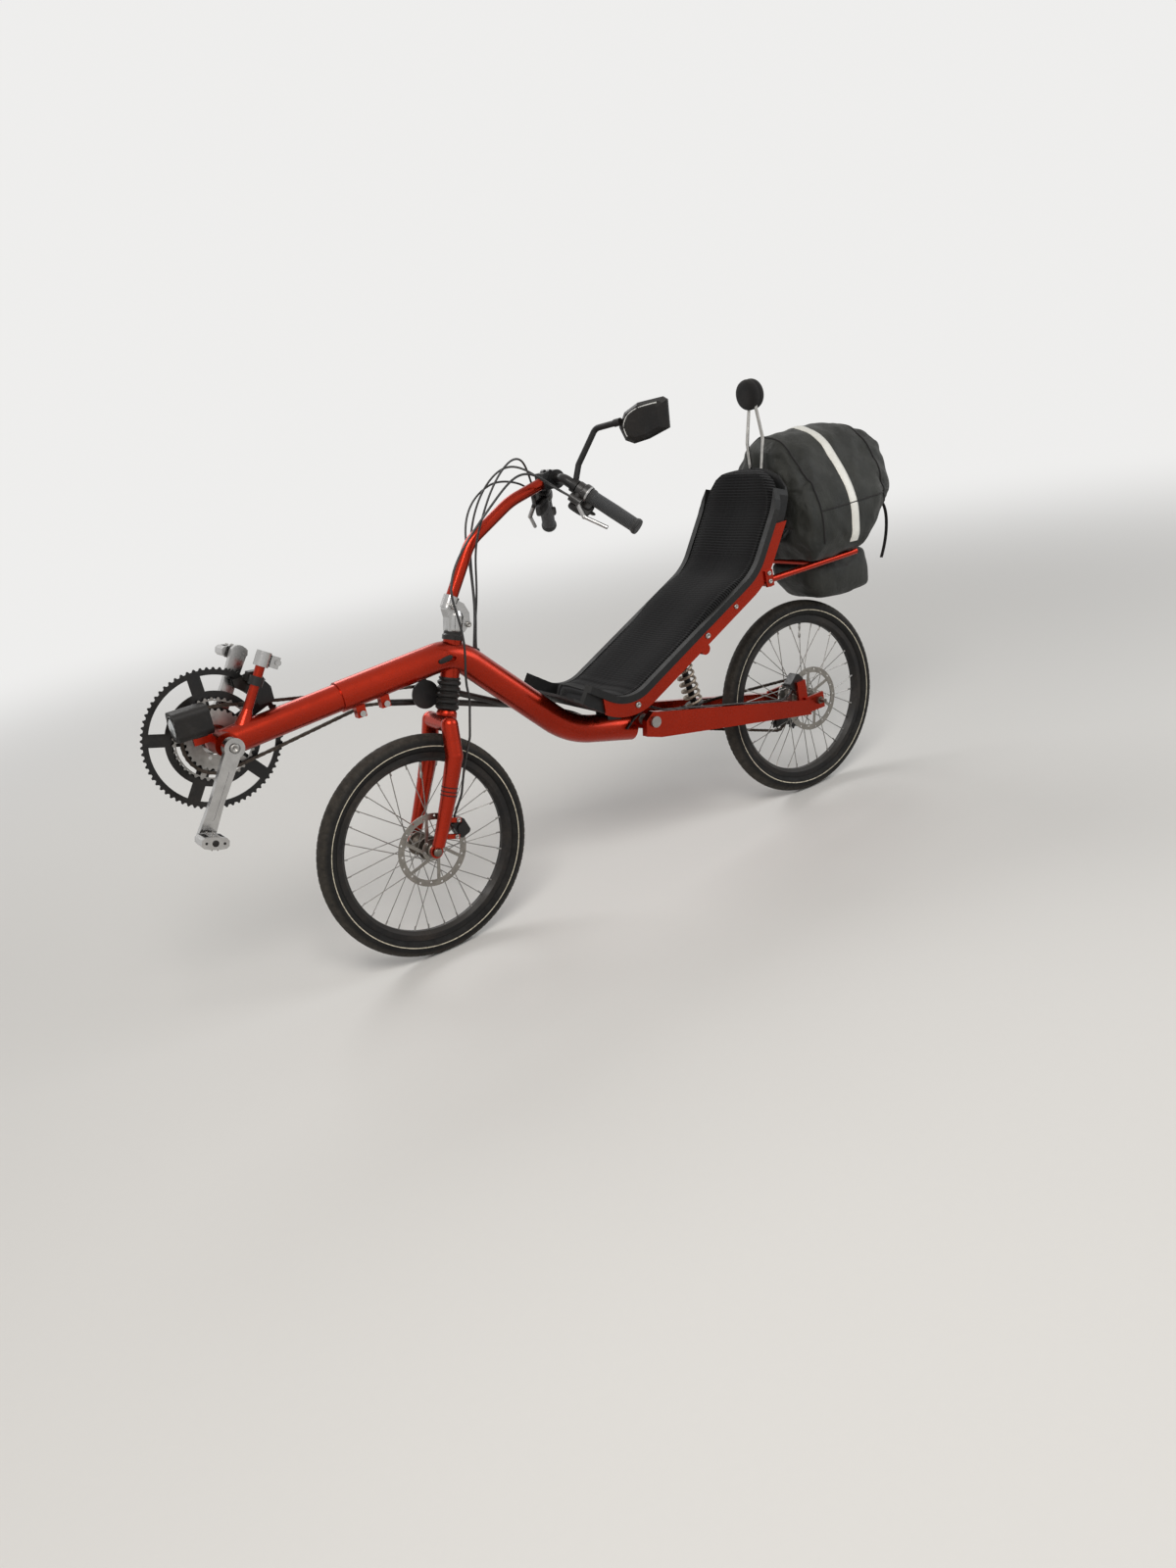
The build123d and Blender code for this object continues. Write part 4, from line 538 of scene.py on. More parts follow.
@maker
def lever_metal(look):
    """Bare blades on black lever bodies, told apart by their place along the bar."""
    blade = look.rescale(bar_distance(look), lever_body + mm, lever_body - mm)
    smudge = look.rescale(look.noise(70.0, 5.0, 0.65), 0.35, 0.75)
    bare = tuple(look.sizes.aluminium)
    silver = look.mix(smudge, bare, tuple(c * 0.6 for c in bare))
    black = look.wear(linear(24, 24, 25), DUST, 0.12)
    return dict(Base_Color=look.mix(blade, black, silver), Metallic=blade,
                Roughness=look.rescale(look.noise(40.0, 4.0), 0.3, 0.7, 0.2, 0.45),
                Normal=look.bump(look.noise(700.0, 2.0), 0.00004))


@maker
def tyre_rubber(look):
    """Black rubber, dusty on the tread, with a reflecting line round each wall, by the UV's second axis."""
    from_crown = look.times(look.off(look.coordinate(1, "UV"), 0.5), 2.0)
    tread = look.rescale(from_crown, 0.42, 0.28)
    cloud = look.rescale(look.noise(16.0, 6.0, 0.7), 0.35, 0.7)
    base = look.mix(cloud, linear(20, 20, 20), linear(34, 33, 32))
    dusty = look.times(look.rescale(look.noise(60.0, 5.0, 0.7), 0.3, 0.7, 0.25, 1.0), tread)
    base = look.mix(look.times(dusty, 0.38), base, linear(94, 87, 78))
    line = look.rescale(look.off(from_crown, 0.548), 0.0165, 0.0140)
    broken = look.rescale(look.noise(160.0, 4.0, 0.6), 0.30, 0.5, 0.35, 1.0)
    base = look.mix(look.times(line, broken), base, linear(206, 198, 178))
    return dict(Base_Color=base, Specular_IOR_Level=0.22,
                Roughness=look.rescale(look.noise(90.0, 4.0), 0.3, 0.7, 0.62, 0.85),
                Normal=look.bump(look.noise(600.0, 3.0), 0.00012, 0.8))


@maker
def seat_mesh(look):
    """Black spacer cloth: ridges across the seat, with the open knit between them."""
    ridge = look.wave(look.coordinate(0, "UV"), 2 * math.pi * look.sizes.ridges)
    knit = look.wave(look.coordinate(1, "UV"), 2 * math.pi * 180)
    open_knit = look.times(look.rescale(ridge, 0.4, -0.6), look.rescale(knit, -0.2, 0.6))
    base = look.mix(look.rescale(ridge, -0.2, 0.9), linear(5, 5, 6), linear(36, 36, 38))
    base = look.mix(look.times(open_knit, 0.5), base, linear(3, 3, 4))
    normal = look.bump(ridge, 0.0014, 1.0)
    return dict(Base_Color=look.wear(base, linear(60, 57, 54), 0.05, 11.0), Roughness=0.85,
                Sheen_Weight=0.06, Sheen_Roughness=0.5, Specular_IOR_Level=0.12,
                Normal=look.bump(look.times(knit, open_knit), 0.0005, 0.6, normal))


@maker
def foam_cover(look):
    """Black foam with fine pores."""
    pores = look.cells(900.0)
    base = look.mix(look.rescale(pores, 0.05, 0.35), linear(12, 12, 12), linear(30, 30, 31))
    return dict(Base_Color=look.wear(base, DUST, 0.07), Roughness=0.9, Sheen_Weight=0.08,
                Specular_IOR_Level=0.2, Normal=look.bump(pores, 0.0006, 0.7))


@maker
def bag_cloth(look):
    """Coated dark grey weave with creases, faded on the folds."""
    weave = look.times(look.wave(look.coordinate(2), 3600.0), look.wave(look.coordinate(0), 3600.0))
    creases = look.noise(14.0, 5.0, 0.6, look.stretched((1, 1, 0.55), (0.2, 0.5, 0)))
    base = look.mix(look.rescale(creases, 0.35, 0.7), linear(26, 28, 26), linear(46, 47, 43))
    normal = look.bump(creases, 0.010, 0.7)
    return dict(Base_Color=look.wear(base, linear(96, 88, 78), 0.08, 8.0), Sheen_Weight=0.08,
                Sheen_Roughness=0.4, Specular_IOR_Level=0.3,
                Roughness=look.rescale(look.noise(20.0, 4.0), 0.3, 0.7, 0.48, 0.68),
                Normal=look.bump(weave, 0.00025, 0.5, normal))


@maker
def stripe_tape(look):
    """White reflecting tape with fine cells and scuffs."""
    cell = look.cells(700.0)
    base = look.mix(look.rescale(cell, 0.1, 0.5), linear(248, 246, 238), linear(226, 225, 218))
    return dict(Base_Color=look.wear(base, linear(150, 142, 128), 0.16, 16.0), Roughness=0.42,
                Specular_IOR_Level=0.7, Normal=look.bump(cell, 0.0001, 0.4))


@maker
def strap_web(look):
    """Black webbing with fine ribs."""
    rib = look.wave(look.coordinate(2), 2600.0)
    base = look.mix(look.rescale(rib, -0.6, 0.6), linear(18, 18, 19), linear(36, 36, 38))
    return dict(Base_Color=look.wear(base, DUST, 0.1), Roughness=0.75, Sheen_Weight=0.06,
                Specular_IOR_Level=0.25, Normal=look.bump(rib, 0.0003, 0.6))


@maker
def cable_cover(look):
    """Smooth black cable housing with a little dust."""
    return dict(Base_Color=look.wear(linear(13, 13, 14), DUST, 0.06, 24.0), Coat_Weight=0.2,
                Coat_Roughness=0.3, Roughness=look.rescale(look.noise(40.0), 0.3, 0.7, 0.35, 0.55))


@maker
def lamp_glass(look):
    """Clear lens with a fluted pattern over a silver bowl."""
    flutes = look.wave(look.coordinate(1), 1500.0)
    base = look.mix(look.rescale(flutes, -0.8, 0.8), linear(150, 156, 160), linear(214, 218, 220))
    return dict(Base_Color=base, Roughness=0.08, Metallic=0.35, Coat_Weight=1.0, Coat_Roughness=0.03,
                Normal=look.bump(flutes, 0.0005, 0.5))


@maker
def mirror_glass(look):
    """Silvered glass with faint smears."""
    smear = look.noise(18.0, 5.0, 0.7)
    return dict(Base_Color=linear(205, 208, 210), Metallic=1.0,
                Roughness=look.rescale(smear, 0.35, 0.8, 0.02, 0.12))


@maker
def pale_line(look):
    """Painted highlight along the mirror's edge: a pale line, a little dusty."""
    return dict(Base_Color=look.wear(linear(216, 217, 214), DUST, 0.15, 30.0), Roughness=0.4)


node_finish = {
    "red_lacquer": ["main_tube", "boom", "seat_rails", "seat_stay", "rack", "swingarm", "fork", "riser"],
    "polished_aluminium": ["post_clamp", "crankset", "stem", "boom_bolts", "pedal_left", "pedal_right"],
    "dull_steel": ["pivot_axle", "front_spokes", "rear_spokes", "cassette", "inner_chainrings"],
    "bright_rod": ["headrest_rods"],
    "rotor_steel": ["front_rotor", "rear_rotor"],
    "dirty_spring": ["shock_spring"],
    "oiled_chain": ["chain"],
    "black_paint": ["headset", "seat_block", "shock_body", "rear_caliper", "front_caliper", "handlebar",
                    "bar_clamp", "outer_chainring", "rear_derailleur", "front_derailleur"],
    "black_rim": ["front_rim", "rear_rim"],
    "black_moulding": ["lamp", "bellows", "mirror_arm", "mirror_head", "idlers"],
    "guard_coat": ["idler_studs"],
    "lever_metal": ["brake_levers"],
    "hub_metal": ["front_hub", "rear_hub", "rear_axle"],
    "cable_cover": ["front_brake_hose", "rear_brake_hose"],
    "shell_gloss": ["seat_shell"],
    "chain_guide": ["chain_tubes"],
    "grip_rubber": ["grips"],
    "tyre_rubber": ["front_tyre", "rear_tyre"],
    "seat_mesh": ["seat_pad"],
    "foam_cover": ["headrest_pad"],
    "bag_cloth": ["bag", "bag_flap"],
}


# Settings

def colour_setting(name, description, default):
    """Property that holds a colour."""
    return FloatVectorProperty(name=name, description=description, default=default, subtype="COLOR",
                               min=0, max=1)


def length_setting(name, description, default):
    """Property that holds a length in metres."""
    return FloatProperty(name=name, description=description, default=default, unit="LENGTH")


class RecumbentFinishes(bpy.types.PropertyGroup):
    """Colours of the frame's finishes, and the seat cloth's ridges"""
    paint: colour_setting("Paint", "Colour of the red lacquer", (0.36, 0.018, 0.003))
    aluminium: colour_setting("Aluminium", "Colour of the polished parts", (0.47, 0.465, 0.46))
    steel: colour_setting("Steel", "Colour of the plain steel parts", (0.36, 0.35, 0.335))
    ridges: FloatProperty(name="Seat ridges", description="Ridges along the seat", default=118.0, min=10)


class RecumbentWheels(bpy.types.PropertyGroup):
    """The tyres' tread"""
    tread_depth: length_setting("Tread depth", "Depth of the grooves", 0.0012)
    tread_blocks: IntProperty(name="Tread blocks", description="Grooves round one tyre", default=96, min=8)


class RecumbentFittings(bpy.types.PropertyGroup):
    """Size of the cables"""
    cable: length_setting("Cable", "Diameter of the cables on the bar", 0.0046)


class RecumbentSoft(bpy.types.PropertyGroup):
    """Sizes of the seat pad and the bag"""
    pad_height: length_setting("Pad height", "Top of the seat pad above the rail's middle", 0.036)
    lumbar: length_setting("Lumbar", "Extra height of the pad at the small of the back", 0.012)
    stripe: length_setting("Stripe", "Width of the bag's pale stripe", 0.024)


class RecumbentStage(bpy.types.PropertyGroup):
    """Camera, floor and light"""
    lens: FloatProperty(name="Lens", description="Focal length for 36 mm high film", default=29.37,
                        unit="CAMERA")
    floor: colour_setting("Floor", "Colour of the floor", (0.78, 0.77, 0.75))
    key: FloatProperty(name="Key light", description="Strength of the main lamp", default=88.0, unit="POWER")
    sky: FloatProperty(name="Ambient light", description="Strength of the even light all round", default=0.28)


# Stage

backdrop_colour = (0.86, 0.855, 0.845)
ambient_colour = (1.0, 0.985, 0.96)
# The floor fades into the backdrop between these distances from the origin, in metres
fade_start, fade_end = 1.3, 6.0
floor_reach = 40.0
# Lamps: place, width and height in metres, share of the main lamp's strength, and colour
lamps = {
    "key": ((1.6, 2.6, 2.9), (2.2, 1.6), 1.0, (1.0, 0.965, 0.92)),
    "fill": ((-2.8, 2.2, 1.5), (2.4, 1.8), 0.42, (0.94, 0.97, 1.0)),
    "back": ((0.4, -2.9, 2.4), (3.0, 1.2), 0.5, (1.0, 1.0, 1.0)),
}
lamp_target = (0, 0, 0.1)
camera_place = (986.9, 2414.1, 1187.9)
camera_angles = (70.898, 10.677, 145.954)
film_height = 36.0


def seen_ray(nodes, links):
    """1 for what the camera, gloss and glass see, and 0 for the light that surfaces give each other."""
    rays = nodes.new("ShaderNodeLightPath")
    total = rays.outputs["Is Camera Ray"]
    for kind in ("Is Glossy Ray", "Is Transmission Ray"):
        either = nodes.new("ShaderNodeMath")
        either.operation = "MAXIMUM"
        links.new(total, either.inputs[0])
        links.new(rays.outputs[kind], either.inputs[1])
        total = either.outputs[0]
    return total


def floor_finish(colour):
    """Pale floor that keeps the shadow near the object and fades into the backdrop further off."""
    look = Finish("floor_finish")
    grain = look.rescale(look.noise(90.0, 4.0), 0.3, 0.7)
    base = look.mix(look.times(grain, 0.03), colour, tuple(c * 0.8 for c in colour))
    look.done(Base_Color=base, Roughness=0.9, Specular_IOR_Level=0.1)
    far = look.add("VectorMath", {0: look.place.outputs["Object"]}, output="Value", operation="LENGTH")
    fade = {"Value": far, "From_Min": fade_start, "From_Max": fade_end}
    share = look.add("MapRange", fade, interpolation_type="SMOOTHERSTEP")
    share = look.times(share, seen_ray(look.nodes, look.links))
    glow = look.add("Emission", {"Color": backdrop_colour, "Strength": 1.0})
    both = look.add("MixShader", {0: share, 1: look.shader.outputs[0], 2: glow})
    look.links.new(both, look.nodes["Material Output"].inputs["Surface"])
    return look.material


def backdrop_world(strength):
    """Even pale backdrop for what the camera, gloss and glass see, and a weaker even light for the rest."""
    world = bpy.data.worlds.new("backdrop")
    world.use_nodes = True
    nodes, links = world.node_tree.nodes, world.node_tree.links
    seen, light = nodes["Background"], nodes.new("ShaderNodeBackground")
    seen.inputs["Color"].default_value = (*backdrop_colour, 1)
    light.inputs["Color"].default_value = (*ambient_colour, 1)
    light.inputs["Strength"].default_value = strength
    both = nodes.new("ShaderNodeMixShader")
    for socket, source in zip(both.inputs, (seen_ray(nodes, links), light.outputs[0], seen.outputs[0])):
        links.new(source, socket)
    links.new(both.outputs[0], nodes["World Output"].inputs["Surface"])
    bpy.context.scene.world = world


def soft_lamp(name, place, size, watts, colour):
    """Wide lamp at a place, turned towards the object."""
    lamp = bpy.data.lights.new(name, "AREA")
    lamp.shape = "RECTANGLE"
    lamp.size, lamp.size_y = size
    lamp.energy = watts
    lamp.color = colour
    holder = bpy.data.objects.new(name, lamp)
    holder.location = place
    holder.rotation_euler = (Vector(lamp_target) - Vector(place)).to_track_quat("-Z", "Y").to_euler()
    bpy.context.collection.objects.link(holder)


class RECUMBENT_OT_stage(bpy.types.Operator):
    """Lay the floor, hang the lamps and set the camera where the photograph was taken"""
    bl_idname = "recumbent.stage"
    bl_label = "Stage"

    def execute(self, context):
        sizes = context.scene.recumbent_stage
        radius = np.concatenate([[0.0], np.geomspace(0.5, floor_reach, 24)]) / mm
        profile = np.stack([radius, np.zeros_like(radius)], axis=-1)
        floor = surface("floor", turned(profile, (0, 0, floor_z), (0, 0, 1), 96))
        floor.data.materials.append(floor_finish(tuple(sizes.floor)))
        backdrop_world(sizes.sky)
        for name, (place, size, share, colour) in lamps.items():
            soft_lamp(name, place, size, sizes.key * share, colour)
        camera = bpy.data.cameras.new("camera")
        camera.sensor_fit = "VERTICAL"
        camera.sensor_height = film_height
        camera.lens = sizes.lens
        holder = bpy.data.objects.new("camera", camera)
        holder.location = at(*camera_place)
        holder.rotation_euler = [math.radians(angle) for angle in camera_angles]
        context.collection.objects.link(holder)
        context.scene.camera = holder
        context.scene.view_settings.view_transform = "Standard"
        return {"FINISHED"}


class RECUMBENT_OT_finish_frame(bpy.types.Operator):
    """Give every node of the frame its finish"""
    bl_idname = "recumbent.finish_frame"
    bl_label = "Frame finishes"

    def execute(self, context):
        for name, nodes in node_finish.items():
            for node in nodes:
                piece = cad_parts[node]
                piece.data.materials.clear()
                piece.data.materials.append(finish(name))
        return {"FINISHED"}


# Wheels

wheels = (("front_wheel", front_axle, "front_tyre"), ("rear_wheel", rear_axle, "rear_tyre"))
# Tyre: radius of its wall, and where its section is cut flat at the bead, as a part of that radius
tyre_wall, bead_cut = 21.0, 0.8
# Tread: slant by the distance from the middle line, a groove's part of a block, and the angle where it ends
tread_slant, groove_part, tread_angle = 0.035, 0.26, 1.15
# Fine rings on the tread: distance from the middle line, width and part of the grooves' depth
ring_side, ring_width, ring_depth = 9.5, 0.9, 0.8
# Nipples and valve on each rim: how far out they stand, and how far to the sides
spoke_count = 32
nipple_seat, nipple_side = 188.5, 3.0
valve_seat, valve_angle = 187.5, math.radians(101.0)
# Turned profiles, here and below: radius and height in millimetres
nipple = [(0, 0), (2.0, 0), (2.0, 3), (1.7, 4), (1.7, 12), (0, 12.5)]
valve = [(0, 0), (3.0, 0), (3.0, 14), (2.2, 15), (2.2, 24), (3.1, 25), (3.1, 35), (2.0, 38), (0, 38.5)]


def tyre_grid(axle, depth, blocks):
    """Tyre about an axle: a round wall section, flat at the beads, turned about the axle.

    The section's angle runs once round from the bead over the crown. The tread is cut where a saw
    wave of the turn, slanted by the distance from the middle line, is near its step. Two fine
    rings run round the tyre, one on each side.
    """
    middle = wheel_radius / mm - tyre_wall
    angle = np.linspace(-math.pi, math.pi, 41)
    turn = np.linspace(0, 2 * math.pi, blocks * 13 + 1)[:, None]
    side = tyre_wall * np.sin(angle)
    height = np.maximum(middle + tyre_wall * np.cos(angle), middle - tyre_wall * bead_cut)
    around = turn * blocks / (2 * math.pi) + np.abs(side) * tread_slant + (side > 0) * 0.5
    saw = np.abs((around % 1.0) - 0.5) * 2
    groove = ease(groove_part - saw, 0.0, 0.14) * ease(np.abs(side), 2.5, 4.5) * (np.abs(angle) < tread_angle)
    rings = bell(np.abs(side) - ring_side, ring_width) * (np.abs(angle) < tread_angle + 0.05)
    reach = height * mm - depth * np.maximum(groove, ring_depth * rings)
    across = np.broadcast_to(side * mm, reach.shape)
    return np.stack([axle[0] + reach * np.cos(turn), across, axle[2] + reach * np.sin(turn)], axis=-1)


class RECUMBENT_OT_tyres(bpy.types.Operator):
    """Make both tyres with their tread and reflecting lines"""
    bl_idname = "recumbent.tyres"
    bl_label = "Tyres"

    def execute(self, context):
        sizes = context.scene.recumbent_wheels
        for body, axle, node in wheels:
            grid = tyre_grid(axle, sizes.tread_depth, sizes.tread_blocks)
            fitted(node + "_tread", grid, body, "tyre_rubber", "tyre_rubber", node)
        return {"FINISHED"}


class RECUMBENT_OT_rim_fittings(bpy.types.Operator):
    """Put the nipples and the valve on each rim"""
    bl_idname = "recumbent.rim_fittings"
    bl_label = "Rim fittings"

    def execute(self, context):
        spokes = np.arange(spoke_count)
        turn = spokes * 2 * math.pi / spoke_count
        inward = -np.stack([np.cos(turn), 0 * turn, np.sin(turn)], axis=-1)
        side = np.where(spokes % 2 == 0, nipple_side, -nipple_side)
        seats = (np.stack([0 * side, side, 0 * side], axis=-1) - inward * nipple_seat) * mm
        way = -np.array([math.cos(valve_angle), 0, math.sin(valve_angle)])
        for body, axle, _ in wheels:
            grids = [turned(nipple, axle + seat, heading, 10) for seat, heading in zip(seats, inward)]
            fitted(body + "_nipples", grids, body, "dull_steel", "steel", smooth=False)
            grid = turned(valve, axle - way * valve_seat * mm, way, 20)
            fitted(body + "_valve", grid, body, "dull_steel", "steel")
        return {"FINISHED"}


# Seat

seat_corners = [(-362.0, 490.0), (-490.0, 398.0), (-915.0, 600.0), (-1008.0, 738.0), (-1042.0, 836.0)]
seat_bends = [120.0, 160.0, 200.0]
# Rounded top of the pad: distance back from its tip, and part of the half width
pad_top_end = [(0.0, 0.0), (3.0, 0.30), (12.0, 0.55), (28.0, 0.76), (52.0, 0.90), (84.0, 0.98), (112.0, 1.0)]
pad_front_x = -437.0
pad_half = 123.5
pad_under = -4.5
pad_tip_gap = 5.0
pad_nose_round = 34.0
pad_front_edge, pad_top_edge = 12.0, 16.0
small_of_back_x, small_of_back_width = -806.0, 72.0
bead_height, bead_inset, bead_width = 2.6, 7.0, 3.6
hollow_depth, hollow_width = 5.0, 62.0
# Ribs: their height, and the distances from the edge where they start and are full
rib_height, rib_start, rib_full = 0.75, 11.0, 15.0
head_pad_place = (-1070, 0, 1000)
head_pad_radius, head_pad_half = 35.8, 21.0
head_seam_depth, head_seam_width = 1.4, 0.07


def pad_grid(sizes, ridges):
    """Seat pad: a flat oval section carried along the seat's side curve.

    The section is a circle whose sine and cosine are raised to small powers. Its half width closes
    in by a quarter round at the front and by a table at the top. The height of its upper side adds
    a bell at the small of the back, a bead near both edges, and a fine wave along the seat.
    """
    line, heading, run = side_path(seat_corners, seat_bends, 1.1)
    front = np.searchsorted(-line[:, 0], -pad_front_x)
    line, heading, run = line[front:], heading[front:], run[front:] - run[front]
    left = run[-1] - pad_tip_gap - run
    back, part = np.transpose(pad_top_end)
    quarter_round = np.sqrt(np.clip(1 - np.clip(1 - run / pad_nose_round, 0, 1) ** 2, 0, 1))
    width = pad_half * np.minimum(quarter_round, np.interp(left, back, part))[:, None]
    front_end, top_end = np.clip(run / pad_front_edge, 0, 1), np.clip(left / pad_top_edge, 0, 1)
    ends = np.minimum(np.sqrt(front_end), np.sqrt(top_end))[:, None]
    small_of_back = bell(line[:, :1] - small_of_back_x, small_of_back_width)
    top = (sizes.pad_height + small_of_back * sizes.lumbar) / mm * ends
    angle = np.linspace(0, 2 * math.pi, 61)
    y = width * power(np.cos(angle), 0.42)
    rise = power(np.sin(angle), 0.5)
    upper = (rise > 0) * ends
    edge = width - np.abs(y)
    bead = bead_height * bell(edge - bead_inset, bead_width) * upper
    hollow = -hollow_depth * bell(y, hollow_width) * upper
    wave = rib_height * np.sin(2 * math.pi * ridges * run / run[-1])[:, None]
    wave = wave * ease(edge, rib_start, rib_full) * upper
    height = pad_under + (top - pad_under) * (0.5 + 0.5 * rise) + bead + hollow + wave
    return at(line[:, :1] + heading[:, 1:] * height, y, line[:, 1:] - heading[:, :1] * height)


class RECUMBENT_OT_seat_pad(bpy.types.Operator):
    """Make the ribbed pad that lies in the seat shell"""
    bl_idname = "recumbent.seat_pad"
    bl_label = "Seat pad"

    def execute(self, context):
        grid = pad_grid(context.scene.recumbent_soft, context.scene.recumbent_finishes.ridges)
        pad = fitted("seat_pad_cloth", grid, "root", "seat_mesh", "seat_mesh", "seat_pad")
        return {"FINISHED"}


class RECUMBENT_OT_headrest(bpy.types.Operator):
    """Make the round foam head pad"""
    bl_idname = "recumbent.headrest"
    bl_label = "Head pad"

    def execute(self, context):
        angle = np.linspace(-math.pi / 2, math.pi / 2, 40)
        seam = head_seam_depth * bell(angle, head_seam_width)
        radius = head_pad_radius * power(np.cos(angle), 0.42) - seam
        profile = np.stack([radius, head_pad_half * power(np.sin(angle), 0.7)], axis=-1)
        grid = turned(profile, at(*head_pad_place), (1, 0, 0), 64)
        pad = fitted("headrest_foam", grid, "root", "foam_cover", "pad_foam", "headrest_pad")
        return {"FINISHED"}


# Bag

bag_mid_x = (rear_axle[0] - foot[0]) / mm - 109.0
bag_floor = 596.3
# Side view: x from the bag's middle, and height above its bottom
bag_side = [(116.0, 292.0), (97.0, 306.0), (0.0, 311.0), (-90.0, 301.0), (-148.0, 270.0), (-181.0, 206.0),
            (-188.0, 144.0), (-167.0, 103.0), (-126.0, 94.0), (-83.0, 44.0), (-40.0, 0.0), (125.0, 0.0),
            (140.0, 44.0), (136.0, 164.0)]
# Rear view, one half: height above the bottom, and width from the middle
bag_half_section = [(-1.0, 142.0), (20.0, 155.0), (55.0, 163.0), (102.0, 168.0), (132.0, 163.0),
                    (172.0, 142.0), (208.0, 119.0), (255.0, 88.0), (289.0, 56.0), (313.0, 0.0)]
# Top view, one half: x from the bag's middle, and width
bag_half_plan = [(-190.0, 50.0), (-174.0, 105.0), (-142.0, 148.0), (-92.0, 170.0), (126.0, 170.0),
                 (150.0, 125.0)]
bag_half_length, bag_centre = 162.0, -22.5
# Pouch under the tail: x from the bag's middle, and height above the bag's bottom
pouch_side = [(92.0, 0.0), (86.0, -46.0), (42.0, -93.0), (-37.0, -103.0), (-125.0, -98.0), (-128.0, -25.0),
              (-122.0, 0.0)]
pouch_half = 77.0
pouch_drop = 15.1
# Cloth pieces: millimetres from the bag's bottom up to the middle of the creases, voxel in metres,
# pressure, metres that a point may move, and the creases' depth in metres
bag_swell = (140.0, 0.006, 3.0, 0.007, 0.0042)
pouch_swell = (-60.0, 0.005, 2.0, 0.004, 0.0028)
# Creases: direction and rate of a wave, its share, how far its phase wanders, and its start
crease_waves = [
    ((0.090, 0.030, 0.052), 1.0, 1.8, 0.0),
    ((-0.060, 0.075, 0.110), 0.7, 2.6, 2.0),
    ((0.170, -0.110, 0.040), 0.45, 1.2, 4.0),
]
# Stripe across its width: part of the half width, and lift off the cloth in metres
stripe_section = [(-1.0, -0.0006), (-1.0, 0.0009), (-0.5, 0.0013), (0.0, 0.0014), (0.5, 0.0013),
                  (1.0, 0.0009), (1.0, -0.0006)]
# Piping: the two rings' x from the bag's middle, and the seams' span along each side
piping_rings = (100.0, -118.0)
seam_span = (99.0, -119.0)
piping_radius, seam_radius = 0.0021, 0.0017
# Trim goes over the bag between these angles about a middle line at this height above its bottom
trim_middle = 120.0
stripe_arc, piping_arc = (-32, 212), (-26, 206)


def outline_range(outline, place):
    """Lowest and highest second value of a closed outline at each first value, from its crossed edges."""
    start = np.asarray(outline, float)
    way = np.roll(start, -1, axis=0) - start
    share = (place[:, None] - start[:, 0]) / np.where(way[:, 0] == 0, 1e-9, way[:, 0])
    level = start[:, 1] + share * way[:, 1]
    crossed = (share >= 0) & (share <= 1)
    return np.where(crossed, level, np.inf).min(axis=1), np.where(crossed, level, -np.inf).max(axis=1)


def bag_grid():
    """Bag: at each place along it, a closed loop between the side outline's lowest and highest points.

    The loop's half width at a height is the softer least of the rear view's and the top view's
    widths, and the corners are rounded by averaging neighbours both ways.
    """
    blend = 0.11
    x = np.cos(np.linspace(0, math.pi, 84)) * bag_half_length + bag_centre
    low, high = outline_range(bag_side, x)
    rise = np.linspace(0, 1, 41)
    cross = np.linspace(-1, 1, 22)[1:-1]
    height = np.concatenate([0 * cross, rise, 0 * cross + 1, rise[::-1]])
    part = np.concatenate([cross, 0 * rise + 1, -cross, 0 * rise - 1])
    z = low[:, None] + (high - low)[:, None] * height
    wide = np.interp(z, *np.transpose(bag_half_section))
    deep = np.interp(x, *np.transpose(bag_half_plan))[:, None]
    y = -np.log(np.exp(-wide * blend) + np.exp(-deep * blend)) / blend * part
    points = np.stack([np.broadcast_to(x[:, None], y.shape), y, z], axis=-1)
    for _ in range(3):
        points = (np.roll(points, 1, axis=1) + 2 * points + np.roll(points, -1, axis=1)) / 4
        points[1:-1] = (points[:-2] + 2 * points[1:-1] + points[2:]) / 4
    points = np.concatenate([points, points[:, :1]], axis=1)
    return at(*np.moveaxis(capped(points.mean(axis=1), points) + [bag_mid_x, 0, bag_floor], -1, 0))


def pouch_grid():
    """Pouch: its rounded side outline repeated across, drawn in towards its middle at both sides."""
    outline = rounded_loop(pouch_side, 4, 90)
    middle = outline[:-1].mean(axis=0)
    across = np.sin(np.linspace(-math.pi / 2, math.pi / 2, 31))[:, None]
    shrink = (1 - np.abs(across) ** 7) ** 0.25
    sag = -3.0 * (1 - across ** 2) * (outline[:, 1] < -60)
    x = middle[0] + (outline[:, 0] - middle[0]) * shrink
    z = middle[1] + (outline[:, 1] - middle[1]) * shrink + sag
    return at(x + bag_mid_x, pouch_half * across, z + bag_floor - pouch_drop)


def cloth_swell(piece, voxel, pressure, cap):
    """Lets a soft shape swell as cloth under pressure, and keeps each point within a cap of its place."""
    remesh = piece.modifiers.new("even", "REMESH")
    remesh.mode = "VOXEL"
    remesh.voxel_size = voxel
    apply_modifiers(piece)
    start = read_points(piece)
    cloth = piece.modifiers.new("swell", "CLOTH")
    cloth.settings.use_pressure = True
    cloth.settings.uniform_pressure_force = pressure
    cloth.settings.effector_weights.gravity = 0
    cloth.settings.quality = 6
    scene = bpy.context.scene
    for number in range(1, 21):
        scene.frame_set(number)
    apply_modifiers(piece)
    scene.frame_set(1)
    moved = read_points(piece) - start
    length = np.linalg.norm(moved, axis=1)[:, None]
    write_points(piece, start + moved * np.minimum(1, cap / np.maximum(length, 1e-9)))


